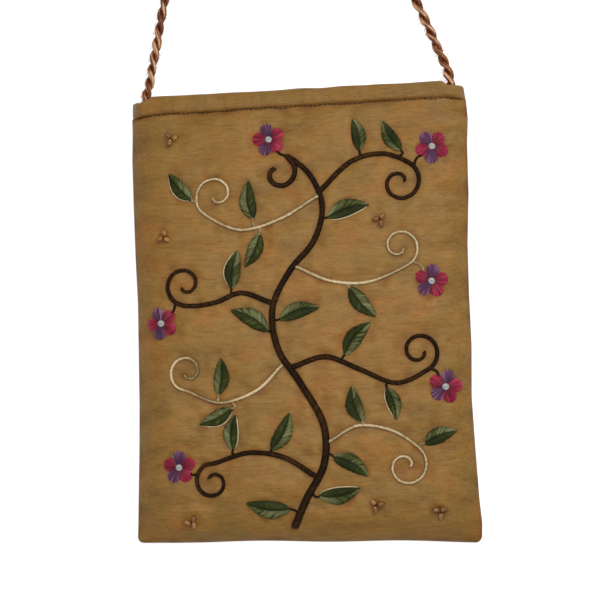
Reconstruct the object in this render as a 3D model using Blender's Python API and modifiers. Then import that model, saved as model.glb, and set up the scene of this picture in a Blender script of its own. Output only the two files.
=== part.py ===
"""Embroidered silk passport bag on a long twisted neck cord.

The bag lies on its back with its front facing up. The mouth points along +Y, the width runs along X, and the
origin is under the middle of the back. Lengths are in metres.
"""

import math

import bmesh
import bpy
import numpy as np
from mathutils import Vector

MM = 0.001

# The bag
BAG_WIDTH = 150 * MM
BAG_HEIGHT = 200 * MM
CORNER_RADIUS = 3 * MM
SILK = 0.8 * MM
CLEARANCE = 0.3 * MM
LOFT = 6.3 * MM
SEAM_RUN = 18 * MM
SEAM_SWELL = 2.4

# The padded hems along the mouth
HEM_HEIGHT = 7.6 * MM
HEM_FRONT = 2.2 * MM
HEM_BACK = 2.0 * MM
HEM_EDGE = 0.7 * MM
HEM_RUN = 9 * MM

# The lining pouch
LINING = 0.5 * MM
LINING_INSET = 4 * MM
LINING_MOUTH = 14 * MM

# The zip
ZIP_RECESS = 4.5 * MM
TAPE = 0.4 * MM
TAPE_INSET = 11.5 * MM
CHAIN_INSET = 16.5 * MM
CHAIN_THICKNESS = 1.2 * MM
CHAIN_SLIT = 1.0 * MM
STOP_LENGTH = 1.6 * MM
SLIDER_LENGTH = 8 * MM
SLIDER_PLATE = 0.7 * MM
SLIDER_GAP = 0.35 * MM
SLIDER_WEB = 0.4 * MM
SLIDER_MARGIN = 2.5 * MM
BAIL_WIRE = 0.6 * MM
BAIL_WIDTH = 1.2 * MM
BAIL_LENGTH = 5.2 * MM
PULL_LENGTH = 12 * MM
PULL_WIDTH = 3.4 * MM
PULL_THICKNESS = 0.6 * MM
PULL_EYE_LENGTH = 3.4 * MM
PULL_EYE_WIDTH = 2.0 * MM

# The embroidery, whose layout below is drawn in millimetres on a field of this width and height
LAYOUT_FIELD = (150, 200)
STITCH_GAP = 0.25 * MM
VINE_WIDTH = 2.5 * MM
VINE_HEIGHT = 1.2 * MM
LEAF_THICKNESS = 0.9 * MM
ROSETTE_RADIUS = 7.4 * MM
ROSETTE_HEIGHT = 1.1 * MM
ROSETTE_PETALS = 5
BEAD_DIAMETER = 2.2 * MM

# The neck cord, whose unseen length is wound up past the mouth
CORD_DIAMETER = 4 * MM
CORD_INSET = 6.4 * MM
CORD_TUCK = 4.5 * MM
COIL_CENTRE = (-4 * MM, 186 * MM)
COIL_INNER_TURN = 14 * MM
COIL_OUTER_TURN = 30 * MM
COIL_LAYERS = 2
TIE_WIDTH = 6 * MM
TIE_THICKNESS = 0.8 * MM
TIE_SLACK = 0.4 * MM

# Heights that follow from the sizes above
HALF_WIDTH = BAG_WIDTH / 2
HALF_HEIGHT = BAG_HEIGHT / 2
SEAM_LEVEL = SILK + CLEARANCE
PLATEAU = SEAM_LEVEL + LOFT
HEM_Y = HALF_HEIGHT - HEM_HEIGHT
ZIP_Y = HALF_HEIGHT - ZIP_RECESS
MOUTH_MIDDLE = (HEM_BACK + PLATEAU) / 2

# Colours, as linear values
COLOURS = {
    "silk": (0.36, 0.17, 0.055),
    "lining_cloth": (0.42, 0.25, 0.10),
    "tape_cloth": (0.30, 0.16, 0.06),
    "zip_teeth": (0.28, 0.15, 0.06),
    "zip_metal": (0.55, 0.42, 0.20),
    "brown_thread": (0.030, 0.014, 0.007),
    "cream_thread": (0.55, 0.44, 0.24),
    "green_thread": (0.045, 0.075, 0.022),
    "crimson_thread": (0.33, 0.018, 0.070),
    "bead_glass": (0.48, 0.19, 0.07),
    "cord_rayon": (0.34, 0.12, 0.035),
}
METALS = {"zip_metal"}

# The stems: colour, width at the root and at the tip as shares of the vine's width, and a route in millimetres.
# Each route ends in a scroll that turns about a centre: (x, y, turns, last radius).
VINES = {
    "trunk": ("brown_thread", 1.35, 0.85, [(-5, -93), (1, -80), (9, -65), (9, -48), (0, -31), (-10, -15), (-12, 3),
                                           (-4, 19), (7, 32), (11, 47), (6, 61), (-4, 70)], (-8, 62.5, -0.85, 2.6)),
    "scroll_low_left": ("brown_thread", 0.95, 0.6, [(3.5, -69.5), (-9, -62), (-24, -60), (-38, -64)],
                        (-40, -72.5, 1.2, 2.4)),
    "scroll_low_right": ("cream_thread", 0.7, 0.5, [(12.5, -55), (24, -49), (38, -51), (49, -58)],
                         (44, -66.5, -1.2, 2.2)),
    "scroll_left": ("cream_thread", 0.7, 0.5, [(-9.8, -23.5), (-20, -33), (-36, -38), (-50, -33)],
                    (-50.5, -24, -1.15, 2.2)),
    "scroll_right": ("brown_thread", 0.95, 0.6, [(-2, -22.5), (11, -19), (26, -25), (41, -31), (54, -26)],
                     (51, -17.5, 1.2, 2.4)),
    "scroll_high_left": ("brown_thread", 0.95, 0.6, [(-14.5, 6), (-26, 10), (-38, 6), (-50, 5)],
                         (-51, 14.5, -1.15, 2.4)),
    "scroll_high_right": ("cream_thread", 0.7, 0.5, [(0.5, 20), (14, 14), (30, 13), (46, 19)],
                          (44, 28, 1.15, 2.2)),
    "tendril_top_left": ("cream_thread", 0.7, 0.5, [(8.2, 51), (-8, 42), (-26, 38), (-42, 46)],
                         (-36, 54, -1.05, 2.2)),
    "tendril_top_right": ("brown_thread", 0.95, 0.6, [(11.5, 55), (24, 66), (38, 69), (50, 64)],
                          (45, 56, -1.15, 2.4)),
}

# Leaves: foot x and y, heading in degrees, length, width and sideways bend, in millimetres
LEAVES = [
    (-6.5, -84.5, 172, 19, 8.0, 1.5), (6.5, -79, 10, 18, 7.5, -1.5), (13, -62, -30, 17, 7.5, 1.5),
    (-14, -59, 62, 18, 7.5, -1.5), (-31, -58.5, 85, 15, 7.0, 1.5), (26, -47.5, 105, 16, 7.5, 1.5),
    (52, -57, 20, 15, 7.0, 1.0), (-31, -40.5, -155, 16, 7.0, 1.0), (-37, -34.5, 85, 16, 7.0, -1.0),
    (19, -18.5, 50, 18, 7.5, 1.5), (37, -33, -75, 14, 6.5, 1.0), (-14, -7, 150, 19, 8.0, -1.5),
    (-9, -2, 15, 18, 7.5, 1.5), (-30, 12, 80, 17, 7.5, 1.0), (22, 11, -50, 17, 7.5, -1.0),
    (-17, 36, -115, 16, 7.0, 1.0), (13, 42, 15, 19, 8.0, 1.5), (28, 71, 100, 14, 6.5, -1.0),
    (-20, 42.5, 95, 17, 7.5, 1.5), (-47, 52, 130, 16, 7.0, 1.0), (46, 70, 120, 15, 6.5, 1.0),
]

# Rosettes: centre x and y in millimetres, and turn in degrees
ROSETTES = [(-55, -66, 20), (62, -33, 5), (-62, -2.5, 40), (57.5, 12.5, 10), (-12, 77.5, 30), (59.5, 71, 50)]

# Bead clusters: centre x and y in millimetres, and turn in degrees
BEADS = [(-56, 80, 10), (36, 40, 50), (-60, 36, 80), (31, -83, 15), (-50, -90, 60), (58, -86, 35)]


def share(distance, run):
    """How much of the full loft stands at this distance from a seam, from 0 at the seam to 1."""
    left = 1 - min(max(distance / run, 0), 1)
    return 1 - left**SEAM_SWELL


def panel_under(x, y):
    """The underside of the front panel."""
    side = share(HALF_WIDTH - abs(x), SEAM_RUN)
    foot = share(y + HALF_HEIGHT, SEAM_RUN)
    return SEAM_LEVEL + LOFT * side * foot


def panel_top(x, y):
    return panel_under(x, y) + SILK


def mouth_under(x):
    """The underside of the front hem."""
    seam = HEM_BACK + CLEARANCE
    return seam + (PLATEAU - seam) * share(HALF_WIDTH - abs(x), HEM_RUN)


def rounded(x, y, inset=0.0):
    """The point x, y of a panel, drawn in where it lies in a rounded lower corner."""
    radius = CORNER_RADIUS
    centre_x = HALF_WIDTH - inset - radius
    centre_y = -HALF_HEIGHT + inset + radius
    across = (abs(x) - centre_x) / radius
    down = (centre_y - y) / radius
    if across <= 0 or down <= 0:
        return x, y
    reach_x = radius * across * math.sqrt(1 - down**2 / 2)
    reach_y = radius * down * math.sqrt(1 - across**2 / 2)
    return math.copysign(centre_x + reach_x, x), centre_y - reach_y


def stations(low, high, step, fine_low=True, fine_high=True):
    """Places from low to high: close together over the swell beside a seam, and a step apart elsewhere."""
    swell = [share_of * SEAM_RUN for share_of in (0, 0.08, 0.2, 0.38, 0.62, 1.0)]
    start = [low + s for s in swell] if fine_low else [low]
    end = [high - s for s in reversed(swell)] if fine_high else [high]
    count = max(1, round((end[0] - start[-1]) / step))
    middle = np.linspace(start[-1], end[0], count + 1)[1:-1]
    return start + list(middle) + end


def on_panel(x, y):
    """A place of the layout as a place on the bag."""
    return Vector((x / LAYOUT_FIELD[0] * BAG_WIDTH, y / LAYOUT_FIELD[1] * BAG_HEIGHT))


def panel_columns():
    return stations(-HALF_WIDTH, HALF_WIDTH, 15 * MM)


def panel_rows():
    return stations(-HALF_HEIGHT, HEM_Y - CLEARANCE, 16 * MM, fine_high=False)


def between(places, low, high):
    """The given places that lie clearly inside low and high, with these two as the ends."""
    return [low, *[place for place in places if low + CLEARANCE < place < high - CLEARANCE], high]


def new_material(name):
    material = bpy.data.materials.new(name)
    material.use_nodes = True
    shader = material.node_tree.nodes["Principled BSDF"]
    shader.inputs["Base Color"].default_value = (*COLOURS[name], 1)
    shader.inputs["Metallic"].default_value = 1.0 if name in METALS else 0.0
    shader.inputs["Roughness"].default_value = 0.3 if name in METALS or name == "bead_glass" else 0.6
    return material


def add_object(name, data, material, collection):
    data.materials.clear()
    data.materials.append(material)
    obj = bpy.data.objects.new(name, data)
    collection.objects.link(obj)
    return obj


def mesh_from(bm, name, smooth=True):
    bmesh.ops.recalc_face_normals(bm, faces=bm.faces)
    mesh = bpy.data.meshes.new(name)
    bm.to_mesh(mesh)
    bm.free()
    if smooth:
        mesh.shade_smooth()
        mesh.set_sharp_from_angle(angle=math.radians(50))
    return mesh


def add_slab(name, columns, rows, section, material, collection):
    """A closed sheet on a grid: section(u, v) gives the low and the high point over each place of the grid."""
    bm = bmesh.new()
    u_layer = bm.verts.layers.int.new("column")
    v_layer = bm.verts.layers.int.new("row")
    bmesh.ops.create_grid(bm, x_segments=len(columns) - 1, y_segments=len(rows) - 1, size=1)
    for vert in bm.verts:
        vert[u_layer] = round((vert.co.x + 1) / 2 * (len(columns) - 1))
        vert[v_layer] = round((vert.co.y + 1) / 2 * (len(rows) - 1))
    raised = bmesh.ops.extrude_face_region(bm, geom=bm.faces[:])["geom"]
    high = {item for item in raised if isinstance(item, bmesh.types.BMVert)}
    for vert in bm.verts:
        low_point, high_point = section(columns[vert[u_layer]], rows[vert[v_layer]])
        vert.co = high_point if vert in high else low_point
    return add_object(name, mesh_from(bm, name), material, collection)


def add_box(name, low, high, material, collection, bevel=0.0):
    bm = bmesh.new()
    bmesh.ops.create_cube(bm, size=1)
    size = Vector(high) - Vector(low)
    bmesh.ops.scale(bm, vec=size, verts=bm.verts)
    if bevel:
        bmesh.ops.bevel(bm, geom=bm.edges[:], offset=bevel, segments=2, affect="EDGES", profile=0.5)
    obj = add_object(name, mesh_from(bm, name, smooth=False), material, collection)
    obj.location = (Vector(high) + Vector(low)) / 2
    return obj


def add_boolean(obj, other, operation):
    modifier = obj.modifiers.new(operation.title(), "BOOLEAN")
    modifier.operation = operation
    modifier.object = other
    other.hide_render = True
    other.display_type = "WIRE"


def add_panel(name, low, high, material, collection):
    """A whole face of the bag below the hem, between the surfaces low(x, y) and high(x, y)."""

    def section(u, v):
        x, y = rounded(u, v)
        return (x, y, low(x, y)), (x, y, high(x, y))

    return add_slab(name, panel_columns(), panel_rows(), section, material, collection)


def add_hem(name, low, thickness, material, collection):
    """A padded roll along the mouth, thin at its long edges and at the corners."""
    columns = [-HALF_WIDTH, *[side * (HALF_WIDTH - HEM_RUN * part) for side, parts in
               ((-1, (0.12, 0.3, 0.55, 1.0)), (1, (3.5, 1.0, 0.55, 0.3, 0.12))) for part in parts], HALF_WIDTH]
    columns = sorted([*columns, 0.0, -(HALF_WIDTH - HEM_RUN * 3.5)])
    rows = [0, 0.08, 0.25, 0.5, 0.75, 0.92, 1]

    def section(u, v):
        y = HEM_Y + v * HEM_HEIGHT
        crown = (1 - abs(2 * v - 1) ** 2.6) ** 0.5
        pinch = 0.7 + 0.3 * share(HALF_WIDTH - abs(u), HEM_RUN)
        rise = HEM_EDGE + (thickness - HEM_EDGE) * crown * pinch
        return low(u, rise, y)

    return add_slab(name, columns, rows, section, material, collection)


def add_pouch(name, inset, floor, drop, mouth_y, material, collection):
    """A solid cushion inside the bag, as far below the front panel as drop says."""
    half = HALF_WIDTH - inset
    columns = between(panel_columns(), -half, half)
    rows = between(panel_rows(), -HALF_HEIGHT + inset, mouth_y)

    def section(u, v):
        x, y = rounded(u, v, inset)
        return (x, y, floor), (x, y, panel_under(x, y) - drop)

    return add_slab(name, columns, rows, section, material, collection)


def add_lining(material, parts, cutters):
    """One pouch of thin cloth, open at its mouth, which meets the zip tapes."""
    mouth_y = HALF_HEIGHT - LINING_MOUTH
    lining = add_pouch("lining", LINING_INSET, SEAM_LEVEL, CLEARANCE, mouth_y, material, parts)
    hollow = add_pouch("lining_hollow", LINING_INSET + LINING, SEAM_LEVEL + LINING, CLEARANCE + LINING,
                       mouth_y + HEM_HEIGHT, material, cutters)
    add_boolean(lining, hollow, "DIFFERENCE")


def add_tapes(material, collection):
    """The two zip tapes, which run down inside the hems to the edge of the lining."""
    half = HALF_WIDTH - TAPE_INSET
    columns = between(panel_columns(), -half, half)
    lining_y = HALF_HEIGHT - LINING_MOUTH + CLEARANCE
    knee_y = HEM_Y - CLEARANCE
    rows = [lining_y, (lining_y + knee_y) / 2, knee_y, ZIP_Y + CHAIN_THICKNESS / 2]

    def front(u, v):
        under = mouth_under(u) if v > knee_y else min(mouth_under(u), panel_under(u, v))
        high = under - CLEARANCE
        return (u, v, high - TAPE), (u, v, high)

    def back(u, v):
        slope = min(max((v - lining_y) / (knee_y - lining_y), 0), 1)
        low = SEAM_LEVEL + (HEM_BACK + CLEARANCE - SEAM_LEVEL) * slope
        return (u, v, low), (u, v, low + TAPE)

    add_slab("zip_tape_front", columns, rows, front, material, collection)
    add_slab("zip_tape_back", columns, rows, back, material, collection)


def chain_reach():
    """How far each half of the chain reaches from the middle of the mouth to its tape."""
    return (PLATEAU - HEM_BACK) / 2 - 2 * CLEARANCE - TAPE


def add_chains(material, metal, collection):
    """The two halves of the chain, with the slit for the slider's divider, and the stops at both ends."""
    half = HALF_WIDTH - CHAIN_INSET
    reach = chain_reach()
    low_y = ZIP_Y - CHAIN_THICKNESS / 2
    high_y = ZIP_Y + CHAIN_THICKNESS / 2
    for name, near, far in (("front", CHAIN_SLIT / 2, reach), ("back", -reach, -CHAIN_SLIT / 2)):
        add_box(f"zip_chain_{name}", (-half, low_y, MOUTH_MIDDLE + near), (half, high_y, MOUTH_MIDDLE + far),
                material, collection)
    for name, side in (("open", -1), ("closed", 1)):
        ends = sorted((side * (half + CLEARANCE), side * (half + CLEARANCE + STOP_LENGTH)))
        add_box(f"zip_stop_{name}", (ends[0], low_y - TAPE / 2, MOUTH_MIDDLE - reach),
                (ends[1], high_y + TAPE / 2, MOUTH_MIDDLE + reach), metal, collection, bevel=0.2 * MM)


def slider_rest():
    """Where the slider's middle stands along X when the zip is closed."""
    return HALF_WIDTH - CHAIN_INSET - SLIDER_MARGIN - SLIDER_LENGTH / 2


def add_slider(metal, parts, cutters):
    """Two plates over and under the chain, a divider in the slit and an arched bail for the pull."""
    x = slider_rest()
    half = SLIDER_LENGTH / 2
    top_y = ZIP_Y + CHAIN_THICKNESS / 2 + SLIDER_GAP
    low_y = ZIP_Y - CHAIN_THICKNESS / 2 - SLIDER_GAP
    top_half = (PLATEAU - HEM_BACK) / 2 - CLEARANCE
    low_half = chain_reach()
    slider = add_box("zip_slider", (x - half, top_y, MOUTH_MIDDLE - top_half),
                     (x + half, top_y + SLIDER_PLATE, MOUTH_MIDDLE + top_half), metal, parts, bevel=0.25 * MM)
    lower = add_box("slider_lower", (x - half, low_y - SLIDER_PLATE, MOUTH_MIDDLE - low_half),
                    (x + half, low_y, MOUTH_MIDDLE + low_half), metal, cutters, bevel=0.2 * MM)
    divider = add_box("slider_divider", (x + half / 4, low_y - SLIDER_PLATE / 2, MOUTH_MIDDLE - SLIDER_WEB / 2),
                      (x + half * 0.95, top_y + SLIDER_PLATE / 2, MOUTH_MIDDLE + SLIDER_WEB / 2), metal, cutters)
    foot_y = top_y + SLIDER_PLATE / 2
    bail_y = pull_pivot_y() + PULL_THICKNESS / 2 + CLEARANCE + SLIDER_GAP / 4
    bail = add_box("slider_bail", (x - BAIL_LENGTH / 2, foot_y, MOUTH_MIDDLE - BAIL_WIDTH / 2),
                   (x + BAIL_LENGTH / 2, bail_y + BAIL_WIRE, MOUTH_MIDDLE + BAIL_WIDTH / 2), metal, cutters)
    arch = add_box("bail_arch", (x - BAIL_LENGTH / 2 + BAIL_WIRE, foot_y - SLIDER_PLATE, MOUTH_MIDDLE - BAIL_WIDTH),
                   (x + BAIL_LENGTH / 2 - BAIL_WIRE, bail_y, MOUTH_MIDDLE + BAIL_WIDTH), metal, cutters)
    add_boolean(bail, arch, "DIFFERENCE")
    for piece in (lower, divider, bail):
        add_boolean(slider, piece, "UNION")
    return slider


def pull_pivot_y():
    """The height of the pull's crossbar over the chain, level with the middle of the bail."""
    top_plate = ZIP_Y + CHAIN_THICKNESS / 2 + SLIDER_GAP + SLIDER_PLATE
    return top_plate + CLEARANCE + SLIDER_GAP / 4 + PULL_THICKNESS / 2


def add_pull(metal, parts):
    """A flat tab with an eye, whose crossbar turns under the bail. It lies back along the closed chain."""
    bar = PULL_THICKNESS / 2
    outline = [(bar, -PULL_WIDTH / 2), (bar, PULL_WIDTH / 2), (-PULL_LENGTH * 0.8, PULL_WIDTH / 2),
               (-PULL_LENGTH, PULL_WIDTH / 4), (-PULL_LENGTH, -PULL_WIDTH / 4), (-PULL_LENGTH * 0.8, -PULL_WIDTH / 2)]
    eye = [(-bar, -PULL_EYE_WIDTH / 2), (-bar, PULL_EYE_WIDTH / 2), (-PULL_EYE_LENGTH, PULL_EYE_WIDTH / 2),
           (-PULL_EYE_LENGTH, -PULL_EYE_WIDTH / 2)]
    pull = add_outline("zip_pull", [outline, eye], PULL_THICKNESS, metal, parts)
    pull.location = (slider_rest(), pull_pivot_y(), MOUTH_MIDDLE)
    pull.rotation_euler = (math.radians(90), 0, 0)


def add_outline(name, outlines, thickness, material, collection):
    """A flat plate from closed outlines, the later ones being holes in the first."""
    curve = bpy.data.curves.new(name, "CURVE")
    curve.dimensions = "2D"
    curve.fill_mode = "BOTH"
    curve.extrude = thickness / 2
    for outline in outlines:
        spline = curve.splines.new("POLY")
        spline.points.add(len(outline) - 1)
        spline.use_cyclic_u = True
        for point, (x, y) in zip(spline.points, outline):
            point.co = (x, y, 0, 1)
    return add_object(name, curve, material, collection)


def smooth_route(points, step):
    """Points a step apart along a smooth curve through the given ones."""
    points = np.array(points, float)
    before = 2 * points[0] - points[1]
    after = 2 * points[-1] - points[-2]
    held = np.vstack([before, points, after])
    fine = []
    for a, b, c, d in zip(held, held[1:], held[2:], held[3:]):
        for t in np.linspace(0, 1, 16, endpoint=False):
            fine.append(0.5 * (2 * b + (c - a) * t + (2 * a - 5 * b + 4 * c - d) * t**2
                               + (3 * b - a - 3 * c + d) * t**3))
    fine = np.vstack([*fine, points[-1]])
    along = np.concatenate([[0], np.cumsum(np.linalg.norm(np.diff(fine, axis=0), axis=1))])
    places = np.linspace(0, along[-1], max(2, round(along[-1] / step)) + 1)
    return np.stack([np.interp(places, along, fine[:, axis]) for axis in range(fine.shape[1])], 1)


def scroll(last, centre_x, centre_y, turns, end_radius):
    """Points that wind in from the last point of a stem about a centre, counter-clockwise for positive turns."""
    offset = np.array(last) - (centre_x, centre_y)
    radius = np.hypot(*offset)
    start = math.atan2(offset[1], offset[0])
    count = round(abs(turns) * 8)
    points = []
    for i in range(1, count + 1):
        part = i / count
        here = radius + (end_radius - radius) * part
        angle = start + part * turns * 2 * math.pi
        points.append((centre_x + here * math.cos(angle), centre_y + here * math.sin(angle)))
    return points


def vine_section():
    """The half-round section of a stitched stem, for one unit of half width."""
    curve = bpy.data.curves.new("stem_section", "CURVE")
    curve.dimensions = "2D"
    spline = curve.splines.new("POLY")
    high = VINE_HEIGHT / (VINE_WIDTH / 2)
    outline = [(-1, 0), (-0.72, 0.68 * high), (0, high), (0.72, 0.68 * high), (1, 0)]
    spline.points.add(len(outline) - 1)
    spline.use_cyclic_u = True
    for point, (x, y) in zip(spline.points, outline):
        point.co = (x * VINE_WIDTH / 2, y * VINE_WIDTH / 2, 0, 1)
    return curve


def add_vine(name, root, tip, route, curl, material, section, collection):
    """A raised stem that tapers along its route and ends in a scroll."""
    stem = [on_panel(*place) for place in (*route, *scroll(route[-1], *curl))]
    points = smooth_route(stem, 3.2 * MM)
    curve = bpy.data.curves.new(name, "CURVE")
    curve.dimensions = "3D"
    curve.twist_mode = "Z_UP"
    curve.bevel_mode = "OBJECT"
    curve.bevel_object = section
    curve.use_fill_caps = True
    spline = curve.splines.new("POLY")
    spline.points.add(len(points) - 1)
    for i, (point, (x, y)) in enumerate(zip(spline.points, points)):
        part = i / (len(points) - 1)
        point.co = (x, y, panel_top(x, y) + STITCH_GAP, 1)
        point.radius = root + (tip - root) * part
    return add_object(name, curve, material, collection)


def add_leaf(name, foot_x, foot_y, heading, length, width, bend, material, collection):
    """An almond leaf of padded stitches: a bent spine, a pointed tip and a crowned back."""
    angle = math.radians(heading)
    along = Vector((math.cos(angle), math.sin(angle)))
    across = Vector((-along.y, along.x))
    foot = Vector((foot_x, foot_y))

    def section(u, v):
        full = math.sin(math.pi * u**0.85) ** 0.8 if 0 < u < 1 else 0
        half = (0.04 + 0.96 * full) * width / 2
        spine = foot + along * u * length + across * bend * math.sin(math.pi * u)
        place = on_panel(*(spine + across * half * v))
        low = panel_top(*place) + STITCH_GAP
        rise = LEAF_THICKNESS * (0.45 + 0.55 * full * (1 - v * v))
        return (*place, low), (*place, low + rise)

    columns = [0, 0.12, 0.3, 0.5, 0.7, 0.88, 1]
    return add_slab(name, columns, [-1, 0, 1], section, material, collection)


def add_rosette(name, centre_x, centre_y, turn, material, collection):
    """A flat round blossom with rounded petals about a small knot."""
    bm = bmesh.new()
    bmesh.ops.create_uvsphere(bm, u_segments=ROSETTE_PETALS * 6, v_segments=6, radius=1)
    start = math.radians(turn)
    for vert in bm.verts:
        out = math.hypot(vert.co.x, vert.co.y)
        angle = math.atan2(vert.co.y, vert.co.x)
        lobe = 0.6 + 0.4 * abs(math.cos((angle - start) * ROSETTE_PETALS / 2)) ** 0.6
        reach = ROSETTE_RADIUS / MM * lobe * out
        x, y = on_panel(centre_x + reach * math.cos(angle), centre_y + reach * math.sin(angle))
        high = 0.35 + 0.65 * vert.co.z if vert.co.z > 0 else 0.35 * (1 + vert.co.z)
        vert.co = (x, y, panel_top(x, y) + STITCH_GAP + ROSETTE_HEIGHT * high)
    return add_object(name, mesh_from(bm, name), material, collection)


def add_ball(name, x, y, radius, material, collection):
    """A round bead or knot that lies on the front panel."""
    bm = bmesh.new()
    bmesh.ops.create_uvsphere(bm, u_segments=8, v_segments=6, radius=radius)
    ball = add_object(name, mesh_from(bm, name), material, collection)
    ball.location = (x, y, panel_top(x, y) + STITCH_GAP + radius)
    return ball


def add_beads(name, centre_x, centre_y, turn, material, parts, cutters):
    """Three round beads in a triangle, tied down by the knot of their thread between them."""
    centre = on_panel(centre_x, centre_y)
    cluster = add_ball(name, *centre, BEAD_DIAMETER * 0.4, material, parts)
    for i in range(3):
        angle = math.radians(turn + 120 * i)
        reach = BEAD_DIAMETER * 0.56
        x = centre.x + reach * math.cos(angle)
        y = centre.y + reach * math.sin(angle)
        add_boolean(cluster, add_ball(f"{name}_{i}", x, y, BEAD_DIAMETER / 2, material, cutters), "UNION")


def cord_routes():
    """The centre line of each visible run of the cord, from inside the mouth to the coil, in millimetres."""
    radius = CORD_DIAMETER / 2 / MM
    inside = (HEM_BACK + mouth_under(HALF_WIDTH - CORD_INSET)) / 2 / MM
    start_x = (HALF_WIDTH - CORD_INSET) / MM
    start_y = (HALF_HEIGHT - CORD_TUCK) / MM
    end_y = HALF_HEIGHT / MM
    left = [(-start_x, start_y, inside), (-start_x, end_y, inside), (-67.1, 106, 4.1), (-65.4, 116, 3.0),
            (-63.2, 128, 2.2), (-59.6, 146, radius), (-56.5, 152, radius), (-50, 157, radius), (-42, 160.5, radius),
            (-36, 164, 2.6), (-33.2, 169.7, 3.2)]
    right = [(start_x, start_y, inside), (start_x, end_y, inside), (67.4, 106, 4.1), (63.5, 116, 3.0),
             (59.4, 127, 2.2), (54.3, 139, radius), (50, 147, radius), (43, 153, radius), (35, 157.5, 2.4),
             (28.5, 162.5, 3.9), (25.2, 169.7, 5.2)]
    return {"cord_left": left, "cord_right": right}


def add_cord_run(name, route, material, collection):
    curve = bpy.data.curves.new(name, "CURVE")
    curve.dimensions = "3D"
    curve.bevel_depth = CORD_DIAMETER / 2
    curve.bevel_resolution = 2
    curve.use_fill_caps = True
    points = smooth_route(np.array(route) * MM, 8 * MM)
    spline = curve.splines.new("POLY")
    spline.points.add(len(points) - 1)
    for point, place in zip(spline.points, points):
        point.co = (*place, 1)
    return add_object(name, curve, material, collection)


def add_coil(cord_material, tie_material, collection):
    """The wound rest of the cord as one ring, and the flat tie around it."""
    radius = CORD_DIAMETER / 2
    inner = COIL_INNER_TURN - radius
    outer = COIL_OUTER_TURN + radius
    floor = TIE_THICKNESS + TIE_SLACK
    height = floor + COIL_LAYERS * CORD_DIAMETER
    soft = 0.25 * CORD_DIAMETER
    profile = [(outer, height - soft), (outer, floor + soft), (outer - soft, floor), (inner + soft, floor),
               (inner, floor + soft), (inner, height - soft), (inner + soft, height), (outer - soft, height)]
    bm = bmesh.new()
    verts = [bm.verts.new((x, 0, z)) for x, z in profile]
    for first, second in zip(verts, verts[1:] + verts[:1]):
        bm.edges.new((first, second))
    mesh = bpy.data.meshes.new("cord_coil")
    bm.to_mesh(mesh)
    bm.free()
    coil = add_object("cord_coil", mesh, cord_material, collection)
    coil.location = (*COIL_CENTRE, 0)
    screw = coil.modifiers.new("Turn", "SCREW")
    screw.steps = screw.render_steps = 40
    screw.use_smooth_shade = True
    screw.use_merge_vertices = True
    screw.merge_threshold = 0.00001
    screw.use_normal_calculate = True

    slack = TIE_SLACK
    wall = TIE_THICKNESS
    hole = [(inner - slack, wall), (outer + slack, wall), (outer + slack, height + slack),
            (inner - slack, height + slack)]
    rim = [(inner - slack - wall, 0), (outer + slack + wall, 0), (outer + slack + wall, height + slack + wall),
           (inner - slack - wall, height + slack + wall)]
    tie = add_outline("cord_tie", [rim, hole], TIE_WIDTH, tie_material, collection)
    tie.location = (*COIL_CENTRE, 0)
    tie.rotation_euler = (math.radians(90), 0, math.radians(90))


def main():
    for obj in list(bpy.data.objects):
        bpy.data.objects.remove(obj)
    scene = bpy.context.scene
    parts = bpy.data.collections.new("passport_bag")
    cutters = bpy.data.collections.new("cutters")
    for collection in (parts, cutters):
        scene.collection.children.link(collection)
    look = {name: new_material(name) for name in COLOURS}

    add_panel("front_panel", panel_under, panel_top, look["silk"], parts)
    add_panel("back_panel", lambda x, y: 0, lambda x, y: SILK, look["silk"], parts)
    add_hem("front_hem", lambda x, rise, y: ((x, y, mouth_under(x)), (x, y, mouth_under(x) + rise)),
            HEM_FRONT, look["silk"], parts)
    add_hem("back_hem", lambda x, rise, y: ((x, y, HEM_BACK - rise), (x, y, HEM_BACK)),
            HEM_BACK, look["silk"], parts)
    add_lining(look["lining_cloth"], parts, cutters)

    add_tapes(look["tape_cloth"], parts)
    add_chains(look["zip_teeth"], look["zip_metal"], parts)
    add_slider(look["zip_metal"], parts, cutters)
    add_pull(look["zip_metal"], parts)

    section = add_object("stem_section", vine_section(), look["brown_thread"], cutters)
    section.hide_render = True
    for name, (thread, root, tip, route, curl) in VINES.items():
        add_vine(name, root, tip, route, curl, look[thread], section, parts)
    for i, leaf in enumerate(LEAVES, 1):
        add_leaf(f"leaf_{i:02d}", *leaf, look["green_thread"], parts)
    for i, rosette in enumerate(ROSETTES, 1):
        add_rosette(f"rosette_{i}", *rosette, look["crimson_thread"], parts)
    for i, beads in enumerate(BEADS, 1):
        add_beads(f"beads_{i}", *beads, look["bead_glass"], parts, cutters)

    for name, route in cord_routes().items():
        add_cord_run(name, route, look["cord_rayon"], parts)
    add_coil(look["cord_rayon"], look["cord_rayon"], parts)


main()
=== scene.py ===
"""Looks of the embroidered silk passport bag: silk, hems, stitched vines, beads, zip and twisted neck cord.

The bag lies on its back with its front up, its mouth along +Y and its width along X. Shapes are worked out in
millimetres and scaled to metres when a mesh is made.
"""

import math

import bpy
import numpy as np
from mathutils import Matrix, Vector, kdtree


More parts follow.
